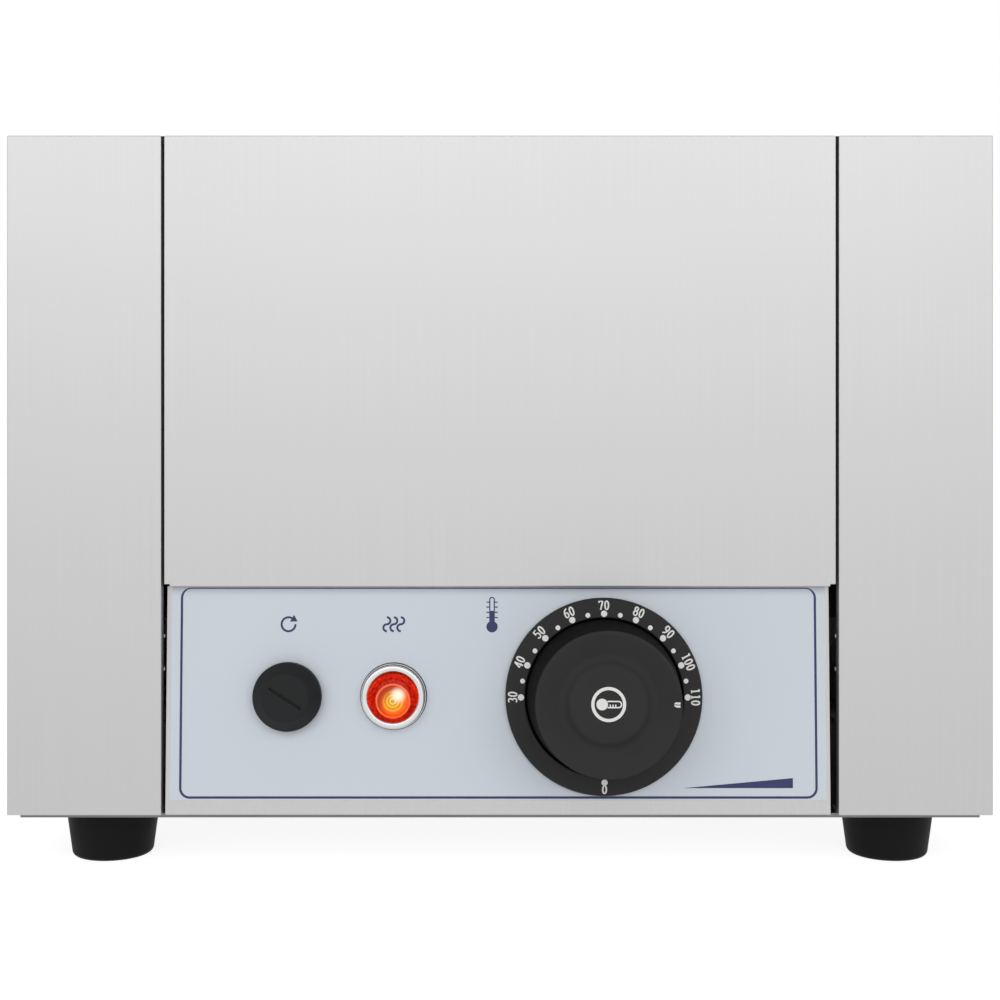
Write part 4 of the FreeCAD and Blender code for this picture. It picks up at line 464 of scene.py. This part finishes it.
# Control knob: moulded in the same black ABS, dished, with a low boss in the middle, pushed onto
# the thermostat's shaft, with a spring clip round its hub. A thermometer in a circle is stamped on
# the boss and a small pointer near the rim.
dress(black_abs, "control_knob")
on_knob = lay_on("control_knob", dial_centre)
circle_radius, circle_width = 5.2, 1.05
bulb_x, knob_bulb, stem_start, stem_end, knob_stem, icon_line = -2.15, 1.9, -0.4, 4.2, 1.0, 0.45
icon_ticks, icon_tick_width = (0.5, 1.4, 2.3), 0.4
badge = stroke(circle(0, 0, circle_radius, corners=48), circle_width, closed=True)
badge += [circle(bulb_x, 0, knob_bulb)]
badge += stroke([(stem_start, knob_stem)] + arc(stem_end - knob_stem, 0, knob_stem, 90, -90)
                + [(stem_start, -knob_stem)], icon_line)
for tick_x in icon_ticks:
    badge += stroke([(tick_x, 0.0), (tick_x, icon_line / 2 - knob_stem)], icon_tick_width)
pointer_in, pointer_out, pointer_half, pointer_rows = 21.3, 23.3, 0.82, 8
pointer_slot, pointer_tip = 0.15, 0.1
pointer = []
for row in range(pointer_rows):
    low, high = (pointer_in + (pointer_out - pointer_in) * (row + step) / pointer_rows for step in (0, 1))
    low_half, high_half = (min(pointer_half, pointer_slot + pointer_tip + r - pointer_in) for r in (low, high))
    pointer += [[(low, side * pointer_slot), (high, side * pointer_slot), (high, side * high_half),
                 (low, side * low_half)] for side in (1, -1)]
print_on("knob_marks", badge + pointer, on_knob, white_foil, "knob")


# Pilot lamp: a stepped brass bezel, turned and chrome plated, on a black rubber gasket, with a
# ringed red lens, and behind the panel a moulded holder with a small neon bulb and a lock nut. The
# gasket's rim, which stands out round the flange, and a black ring in the bezel's groove are painted
# shade. The plating is satin, so it shows the white room as one soft tone.
plating_wave = 3.0
chrome, tree, place = new_finish("brass_chrome_plated")
waves = add_node(tree, "ShaderNodeTexNoise", {"Vector": place, "Scale": 1000 / plating_wave, "Detail": 2})
gloss = add_node(tree, "ShaderNodeMapRange", {"Value": waves.outputs["Fac"], "To Min": 0.26, "To Max": 0.36})
tone = add_node(tree, "ShaderNodeMix", {0: waves.outputs["Fac"], 6: linear("#CBCBCB"), 7: linear("#D6D6D6")},
                data_type="RGBA")
show(tree, add_node(tree, "ShaderNodeBsdfPrincipled", {
    "Base Color": tone.outputs[2], "Metallic": 1, "Roughness": gloss.outputs[0]}))
ring_segments, sharp_angle = 96, 35
lamp_centre = panel_centre + right * (lamp_x / 1000)
bezel_side_view = ((5.2, -18), (6.5, -18), (6.5, 0.62), (11.25, 0.62), (11.25, 1.3), (11.2, 1.42), (11.1, 1.5),
                   (10.95, 1.5), (10.95, 1.0), (10.7, 1.0), (10.7, 3.75), (10.63, 4.0), (10.45, 4.2), (10.2, 4.3),
                   (9.25, 4.3), (9.05, 4.22), (8.9, 4.05), (8.9, 1.3), (5.2, 1.3))
gasket_and_shadow_rim_side_view = ((6.6, 0.3), (11.5, 0.3), (11.5, 0.5), (11.4, 0.62), (6.6, 0.62))
groove_shade_side_view = ((10.7, 1.0), (10.95, 1.0), (10.95, 1.38), (10.88, 1.44), (10.77, 1.44), (10.7, 1.38))


def turned_ring(name, side_view, finish):
    """A ring round the lamp's axis; its side view gives radius and height over the panel, in mm."""
    ring = bmesh.new()
    rows = []
    for i in range(ring_segments):
        angle = math.tau * i / ring_segments
        spoke = right * math.cos(angle) + up * math.sin(angle)
        rows.append([ring.verts.new(lamp_centre + (spoke * radius + outward * rise) / 1000)
                     for radius, rise in side_view])
    for i, row in enumerate(rows):
        for j in range(len(row)):
            ring.faces.new((rows[i - 1][j - 1], rows[i - 1][j], row[j], row[j - 1]))
    bmesh.ops.recalc_face_normals(ring, faces=ring.faces)
    piece = set_in_place(name, ring, finish, "casing")
    piece.data.shade_smooth()
    piece.data.set_sharp_from_angle(angle=math.radians(sharp_angle))
    return piece


dress(chrome, "lamp_bezel")
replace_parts(turned_ring("lamp_bezel_stepped", bezel_side_view, chrome), "lamp_bezel")
# Painted shade: the gasket's rim round the flange and the ring in the groove are black rubber standing in for shade.
turned_ring("lamp_gasket_shadow_rim", gasket_and_shadow_rim_side_view, rubber)
turned_ring("lamp_groove_painted_shade", groove_shade_side_view, rubber)

# Lit polycarbonate: red where the lens is thick at its rim, orange over the bulb. Painted light in its
# glow: the bright rings that its steps gather, one white spot where the bulb's tip shows through, and
# a sparkle of small prisms in the rim, drawn coarse; the side away from the tip is painted shade.
lens_low, lens_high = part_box("lamp_lens")
lens_centre = (lens_low + lens_high) / 2
dome_drop, dome_radius, rim_radius = 1.3, 5.3, 5.9
spot_across, spot_up, spot_core, spot_radius = 1.75, 0.7, 0.6, 3.4
shade_across, shade_up, shade_start, shade_end = 1.5, -2.7, 3.6, 6.8
prism_size, prism_low, prism_high, prism_dark, prism_light = 0.9, 0.3, 0.7, 0.45, 1.5
lit_lens, tree, place = new_finish("polycarbonate_red_lit")
flat = add_node(tree, "ShaderNodeVectorMath", {0: place, 1: (1, 0, 1)}, operation="MULTIPLY")
from_middle = add_node(tree, "ShaderNodeVectorMath",
                       {0: flat.outputs[0], 1: (lens_centre.x, 0, lens_centre.z - dome_drop / 1000)},
                       operation="DISTANCE")
from_tip = add_node(tree, "ShaderNodeVectorMath",
                    {0: flat.outputs[0], 1: (lens_centre.x + spot_across / 1000, 0, lens_centre.z + spot_up / 1000)},
                    operation="DISTANCE")
band_reach = 10.0
share = add_node(tree, "ShaderNodeMapRange", {"Value": from_middle.outputs["Value"], "From Max": band_reach / 1000})
bands = add_node(tree, "ShaderNodeValToRGB", {"Fac": share.outputs[0]})
# Painted light: the bright rings that the lens's steps gather are painted into these colours.
band_colours = ((0.0, "#C87A28"), (0.5, "#DA8C24"), (1.0, "#FFDC58"), (1.5, "#CC7A10"), (2.0, "#FFCE3C"),
                (2.6, "#D2780E"), (3.2, "#FFB828"), (3.8, "#F86A0A"), (5.2, "#FA5002"), (5.75, "#FF7440"),
                (6.1, "#A81002"), (7.6, "#B41402"), (8.8, "#CE2608"), (9.6, "#7A0C02"))
while len(bands.color_ramp.elements) < len(band_colours):
    bands.color_ramp.elements.new(0.5)
for element, (stop, colour) in zip(bands.color_ramp.elements, band_colours):
    element.position = stop / band_reach
    element.color = linear(colour)
from_shade = add_node(tree, "ShaderNodeVectorMath", {
    0: flat.outputs[0], 1: (lens_centre.x + shade_across / 1000, 0, lens_centre.z + shade_up / 1000)},
    operation="DISTANCE")
# Painted shade: the dome's side away from the bulb's tip turns a deeper red.
painted_shade_falloff = add_node(tree, "ShaderNodeMapRange", {
    "Value": from_shade.outputs["Value"], "From Min": shade_start / 1000, "From Max": shade_end / 1000},
    interpolation_type="SMOOTHSTEP")
on_dome = add_node(tree, "ShaderNodeMath", {0: from_middle.outputs["Value"], 1: dome_radius / 1000},
                   operation="LESS_THAN")
painted_shade = add_node(tree, "ShaderNodeMath", {0: painted_shade_falloff.outputs[0], 1: on_dome.outputs[0]}, operation="MULTIPLY")
glow = add_node(tree, "ShaderNodeMix", {0: painted_shade.outputs[0], 6: bands.outputs["Color"], 7: linear("#A83204")},
                data_type="RGBA")
# Painted glint: the rim's prisms sparkle, brighter and darker in turn.
prisms = add_node(tree, "ShaderNodeTexNoise", {"Vector": place, "Scale": 1000 / prism_size, "Detail": 1})
painted_sparkle = add_node(tree, "ShaderNodeMapRange", {
    "Value": prisms.outputs["Fac"], "From Min": prism_low, "From Max": prism_high,
    "To Min": prism_dark, "To Max": prism_light})
on_rim = add_node(tree, "ShaderNodeMath", {0: from_middle.outputs["Value"], 1: rim_radius / 1000},
                  operation="GREATER_THAN")
glow = add_node(tree, "ShaderNodeMix", {0: on_rim.outputs[0], 6: glow.outputs[2], 7: painted_sparkle.outputs[0]},
                data_type="RGBA", blend_type="MULTIPLY")
# Painted highlight: a white spot where the bulb's tip shows through.
tip = add_node(tree, "ShaderNodeMapRange", {
    "Value": from_tip.outputs["Value"], "From Min": spot_core / 1000, "From Max": spot_radius / 1000,
    "To Min": 1, "To Max": 0}, interpolation_type="SMOOTHSTEP")
glow = add_node(tree, "ShaderNodeMix", {0: tip.outputs[0], 6: glow.outputs[2], 7: linear("#FFF9E0")},
                data_type="RGBA")
show(tree, add_node(tree, "ShaderNodeBsdfPrincipled", {
    "Base Color": linear("#4A0A04"), "Roughness": 0.12, "IOR": 1.58, "Specular IOR Level": 0.2,
    "Emission Color": glow.outputs[2], "Emission Strength": 1}))
dress(lit_lens, "lamp_lens")

# Glass with neon in it: clear and smooth, with the orange glow that fills the bulb.
glow_size = 4.0
neon_glass, tree, place = new_finish("neon_bulb_blown_glass")
cloud = add_node(tree, "ShaderNodeTexNoise", {"Vector": place, "Scale": 1000 / glow_size, "Detail": 1})
glow = add_node(tree, "ShaderNodeMix", {0: cloud.outputs["Fac"], 6: linear("#FF5A14"), 7: linear("#FFB04A")},
                data_type="RGBA")
show(tree, add_node(tree, "ShaderNodeBsdfPrincipled", {
    "Base Color": linear("#FFE9D8"), "Roughness": 0.05, "IOR": 1.5, "Transmission Weight": 0.6,
    "Emission Color": glow.outputs[2], "Emission Strength": 0.6}))
dress(neon_glass, "lamp_bulb")


# Manual reset and cable gland: a screw cap with a coin slot over the limiter's push button, and at
# the back a screwed gland for a cord, all moulded in black nylon. It is darker than the knob and a
# little glossier, with a rougher grain, drawn coarse.
nylon_grain, nylon_cloud = 0.6, 6.0
nylon, tree, place = new_finish("nylon_moulded_black")
grain = add_node(tree, "ShaderNodeTexNoise", {"Vector": place, "Scale": 1000 / nylon_grain, "Detail": 3})
cloud = add_node(tree, "ShaderNodeTexNoise", {"Vector": place, "Scale": 1000 / nylon_cloud, "Detail": 2})
tone = add_node(tree, "ShaderNodeMix", {0: cloud.outputs["Fac"], 6: linear("#1A1B1C"), 7: linear("#202122")},
                data_type="RGBA")
gloss = add_node(tree, "ShaderNodeMapRange", {"Value": grain.outputs["Fac"], "To Min": 0.48, "To Max": 0.62})
skin = add_node(tree, "ShaderNodeBump", {"Height": grain.outputs["Fac"], "Strength": 0.1, "Distance": 0.00005})
show(tree, add_node(tree, "ShaderNodeBsdfPrincipled", {
    "Base Color": tone.outputs[2], "Roughness": gloss.outputs[0], "IOR": 1.53, "Specular IOR Level": 0.16,
    "Normal": skin.outputs[0]}))
dress(nylon, "reset_cap", "reset_button", "gland_body", "gland_dome_nut", "gland_locknut")


# Thermostat, limiter and lamp holder: closed cases moulded in cream thermoset, which bears the
# heat. Pressed from powder, it is dull, with pale and dark specks.
powder_size, powder_cloud = 0.9, 12.0
thermoset, tree, place = new_finish("thermoset_moulded_cream")
powder = add_node(tree, "ShaderNodeTexNoise", {"Vector": place, "Scale": 1000 / powder_size, "Detail": 4})
cloud = add_node(tree, "ShaderNodeTexNoise", {"Vector": place, "Scale": 1000 / powder_cloud, "Detail": 2})
tone = add_node(tree, "ShaderNodeMix", {0: powder.outputs["Fac"], 6: linear("#B4AB96"), 7: linear("#D6CFBE")},
                data_type="RGBA")
gloss = add_node(tree, "ShaderNodeMapRange", {"Value": cloud.outputs["Fac"], "To Min": 0.45, "To Max": 0.65})
show(tree, add_node(tree, "ShaderNodeBsdfPrincipled", {
    "Base Color": tone.outputs[2], "Roughness": gloss.outputs[0], "IOR": 1.6}))
dress(thermoset, "thermostat_body", "limiter_body", "lamp_holder")


# Probes: the bulbs and thin capillary tubes of the thermostat and the limiter, clipped to the
# tank's underside. Drawn copper, bright in places and browned where it has been warm.
tarnish_size = 6.0
copper, tree, place = new_finish("copper_drawn_tarnished")
tarnish = add_node(tree, "ShaderNodeTexNoise", {"Vector": place, "Scale": 1000 / tarnish_size, "Detail": 4})
tone = add_node(tree, "ShaderNodeMix", {0: tarnish.outputs["Fac"], 6: linear("#8E5436"), 7: linear("#D08B5F")},
                data_type="RGBA")
gloss = add_node(tree, "ShaderNodeMapRange", {"Value": tarnish.outputs["Fac"], "To Min": 0.45, "To Max": 0.25})
show(tree, add_node(tree, "ShaderNodeBsdfPrincipled", {
    "Base Color": tone.outputs[2], "Metallic": 1, "Roughness": gloss.outputs[0]}))
dress(copper, "thermostat_probe", "limiter_probe", "probe_clips")


# Heating element: a tube bent to and fro under the tank, its steel sheath packed with magnesia
# and rolled. The first heat turns it brown and blue in bands.
tint_size, tint_colours = 18.0, ((0.3, "#4C4A52"), (0.7, "#7C6350"))
sheath, tree, place = new_finish("steel_sheath_heat_tinted")
tint = add_node(tree, "ShaderNodeTexNoise", {"Vector": place, "Scale": 1000 / tint_size, "Detail": 3})
tone = add_node(tree, "ShaderNodeValToRGB", {"Fac": tint.outputs["Fac"]})
for element, (stop, colour) in zip(tone.color_ramp.elements, tint_colours):
    element.position = stop
    element.color = linear(colour)
gloss = add_node(tree, "ShaderNodeMapRange", {"Value": tint.outputs["Fac"], "To Min": 0.38, "To Max": 0.55})
show(tree, add_node(tree, "ShaderNodeBsdfPrincipled", {
    "Base Color": tone.outputs["Color"], "Metallic": 1, "Roughness": gloss.outputs[0]}))
dress(sheath, "heating_element")


# Supply: a terminal block of unglazed steatite on the base plate, and the earth stud with its
# nut in brass. Steatite is a dull warm white with tiny dark specks, drawn coarse.
speck_size = 0.5
steatite, tree, place = new_finish("steatite_pressed_unglazed")
specks = add_node(tree, "ShaderNodeTexNoise", {"Vector": place, "Scale": 1000 / speck_size, "Detail": 3})
tone = add_node(tree, "ShaderNodeMix", {0: specks.outputs["Fac"], 6: linear("#D2CBBC"), 7: linear("#EFEADF")},
                data_type="RGBA")
pores = add_node(tree, "ShaderNodeBump", {"Height": specks.outputs["Fac"], "Strength": 0.15, "Distance": 0.00005})
show(tree, add_node(tree, "ShaderNodeBsdfPrincipled", {
    "Base Color": tone.outputs[2], "Roughness": 0.75, "IOR": 1.55, "Normal": pores.outputs[0]}))
dress(steatite, "terminal_block")

# Turned brass: yellow and half bright, with soft stains.
stain_size = 5.0
brass, tree, place = new_finish("brass_turned")
stain = add_node(tree, "ShaderNodeTexNoise", {"Vector": place, "Scale": 1000 / stain_size, "Detail": 3})
tone = add_node(tree, "ShaderNodeMix", {0: stain.outputs["Fac"], 6: linear("#A5823E"), 7: linear("#D0AE63")},
                data_type="RGBA")
gloss = add_node(tree, "ShaderNodeMapRange", {"Value": stain.outputs["Fac"], "To Min": 0.4, "To Max": 0.22})
show(tree, add_node(tree, "ShaderNodeBsdfPrincipled", {
    "Base Color": tone.outputs[2], "Metallic": 1, "Roughness": gloss.outputs[0]}))
dress(brass, "earth_stud", "earth_nut")


# Internal wires: stranded copper in silicone sleeves, brown for live, blue for neutral and green
# with yellow for earth. Extruded silicone has a soft bloom and a slight unevenness.
bloom_size, stripe_pitch = 2.5, 37.7
stripes_per_unit = 10 / math.tau
for sleeve, dark, light, striped, wires in (
        ("silicone_sleeve_brown", "#4A2A17", "#5E3820", False,
         ("wire_live", "wire_link", "wire_heater_live", "wire_lamp_live")),
        ("silicone_sleeve_blue", "#16347A", "#234691", False, ("wire_heater_neutral", "wire_lamp_neutral")),
        ("silicone_sleeve_green_and_yellow", "#2E7A2B", "#D9C425", True, ("wire_earth",))):
    silicone, tree, place = new_finish(sleeve)
    bloom = add_node(tree, "ShaderNodeTexNoise", {"Vector": place, "Scale": 1000 / bloom_size, "Detail": 2})
    pattern = bloom
    if striped:
        pattern = add_node(tree, "ShaderNodeTexWave",
                           {"Vector": place, "Scale": 1000 / stripe_pitch / stripes_per_unit},
                           bands_direction="DIAGONAL")
    tone = add_node(tree, "ShaderNodeMix", {0: pattern.outputs["Fac"], 6: linear(dark), 7: linear(light)},
                    data_type="RGBA")
    gloss = add_node(tree, "ShaderNodeMapRange", {"Value": bloom.outputs["Fac"], "To Min": 0.45, "To Max": 0.65})
    show(tree, add_node(tree, "ShaderNodeBsdfPrincipled", {
        "Base Color": tone.outputs[2], "Roughness": gloss.outputs[0], "IOR": 1.43}))
    dress(silicone, *wires)


# Fasteners and small steel: screws, studs, nuts, clamp bars, the shaft and its clip. Steel with a
# bright zinc plating, a little blue, with soft blotches from the bath.
blotch_size = 3.5
zinc, tree, place = new_finish("steel_zinc_plated")
blotches = add_node(tree, "ShaderNodeTexNoise", {"Vector": place, "Scale": 1000 / blotch_size, "Detail": 3})
tone = add_node(tree, "ShaderNodeMix", {0: blotches.outputs["Fac"], 6: linear("#A6A9AD"), 7: linear("#C6C8CA")},
                data_type="RGBA")
gloss = add_node(tree, "ShaderNodeMapRange", {"Value": blotches.outputs["Fac"], "To Min": 0.24, "To Max": 0.4})
show(tree, add_node(tree, "ShaderNodeBsdfPrincipled", {
    "Base Color": tone.outputs[2], "Metallic": 1, "Roughness": gloss.outputs[0]}))
dress(zinc, "casing_screws", "foot_screws", "foot_nuts", "panel_screws", "panel_nuts", "clamp_studs", "clamp_nuts",
      "shield_studs", "shield_nuts", "thermostat_screws", "lamp_nut", "limiter_nut", "terminal_screws",
      "thermostat_shaft", "knob_clip", "element_clamps")


# Studio: a white sweep with no seam, which the metal also shows, and a wide soft box high in
# front. The sweep is white by its own light, and keeps a faint shadow of the object. Overhead it
# falls off to grey, with a white panel in the ceiling.
sky_level = 0.6
sky_bands = ((0.4, 1.0), (0.7, 0.46), (0.82, 0.46), (0.95, 0.9))
floor_size, floor_glow, floor_shade, floor_light = 30.0, 0.88, "#9A9A9A", 0.62

world = bpy.data.worlds.new("white_sweep")
bpy.context.scene.world = world
world.use_nodes = True
world.node_tree.nodes.clear()


def seen_directly(tree):
    """1 for a ray from the camera, a mirror or glass, and 0 for one that only carries light."""
    path = add_node(tree, "ShaderNodeLightPath")
    mirrored = add_node(tree, "ShaderNodeMath", {0: path.outputs["Is Camera Ray"], 1: path.outputs["Is Glossy Ray"]},
                        operation="ADD")
    return add_node(tree, "ShaderNodeMath", {0: mirrored.outputs[0], 1: path.outputs["Is Transmission Ray"]},
                    operation="ADD", use_clamp=True).outputs[0]


tree = world.node_tree
height = add_node(tree, "ShaderNodeSeparateXYZ", {0: add_node(tree, "ShaderNodeTexCoord").outputs["Generated"]})
ceiling = add_node(tree, "ShaderNodeValToRGB", {"Fac": height.outputs["Z"]})
ceiling.color_ramp.interpolation = "EASE"
while len(ceiling.color_ramp.elements) < len(sky_bands):
    ceiling.color_ramp.elements.new(0.5)
for element, (stop, brightness) in zip(ceiling.color_ramp.elements, sky_bands):
    element.position = stop
    element.color = (brightness, brightness, brightness, 1)
level = add_node(tree, "ShaderNodeMapRange", {"Value": seen_directly(tree), "To Min": sky_level, "To Max": 1})
strength = add_node(tree, "ShaderNodeMath", {0: ceiling.outputs[0], 1: level.outputs[0]}, operation="MULTIPLY")
sky = add_node(tree, "ShaderNodeBackground", {"Color": (1, 1, 1, 1), "Strength": strength.outputs[0]})
add_node(tree, "ShaderNodeOutputWorld", {"Surface": sky.outputs[0]})

sweep = bmesh.new()
bmesh.ops.create_grid(sweep, x_segments=1, y_segments=1, size=floor_size / 2)
floor_mesh = bpy.data.meshes.new("floor")
sweep.to_mesh(floor_mesh)
sweep.free()
floor = bpy.data.objects.new("floor", floor_mesh)
bpy.context.scene.collection.objects.link(floor)
paper, tree, place = new_finish("paper_sweep_white")
bounce = add_node(tree, "ShaderNodeEmission", {"Color": (1, 1, 1, 1), "Strength": floor_light})
seen = add_node(tree, "ShaderNodeBsdfPrincipled", {
    "Base Color": linear(floor_shade), "Roughness": 1, "Specular IOR Level": 0,
    "Emission Color": (1, 1, 1, 1), "Emission Strength": floor_glow})
show(tree, add_node(tree, "ShaderNodeMixShader", {0: seen_directly(tree), 1: bounce.outputs[0], 2: seen.outputs[0]}))
floor.data.materials.append(paper)

box_width, box_height, box_watts = 3.6, 1.2, 20
box_place, box_aim = Vector((0, -1.86, 1.05)), Vector((0, -0.27, 0.13))
light = bpy.data.lights.new("soft_box", "AREA")
light.shape = "RECTANGLE"
light.size, light.size_y = box_width, box_height
light.energy = box_watts
soft_box = bpy.data.objects.new("soft_box", light)
soft_box.location = box_place
soft_box.rotation_euler = (box_aim - box_place).to_track_quat("-Z", "Y").to_euler()
bpy.context.scene.collection.objects.link(soft_box)


# Camera: square to the front, half a metre off and a little above its middle, so that it looks down
# on the knob. The lens is shifted down by as much, which keeps the uprights upright.
front_face, middle_height, distance, nearest_seen = -0.270, 0.1271, 0.500, 0.01
sensor, picture_width, camera_rise = 36.0, 0.3426, 0.012
camera = bpy.data.objects.new("camera", bpy.data.cameras.new("camera"))
camera.data.sensor_width = sensor
camera.data.lens = sensor * distance / picture_width
camera.data.clip_start = nearest_seen
camera.data.shift_y = -camera_rise / picture_width
camera.location = (0, front_face - distance, middle_height + camera_rise)
camera.rotation_euler = (math.radians(90), 0, 0)
bpy.context.scene.collection.objects.link(camera)
bpy.context.scene.camera = camera
bpy.context.scene.view_settings.view_transform = "Standard"
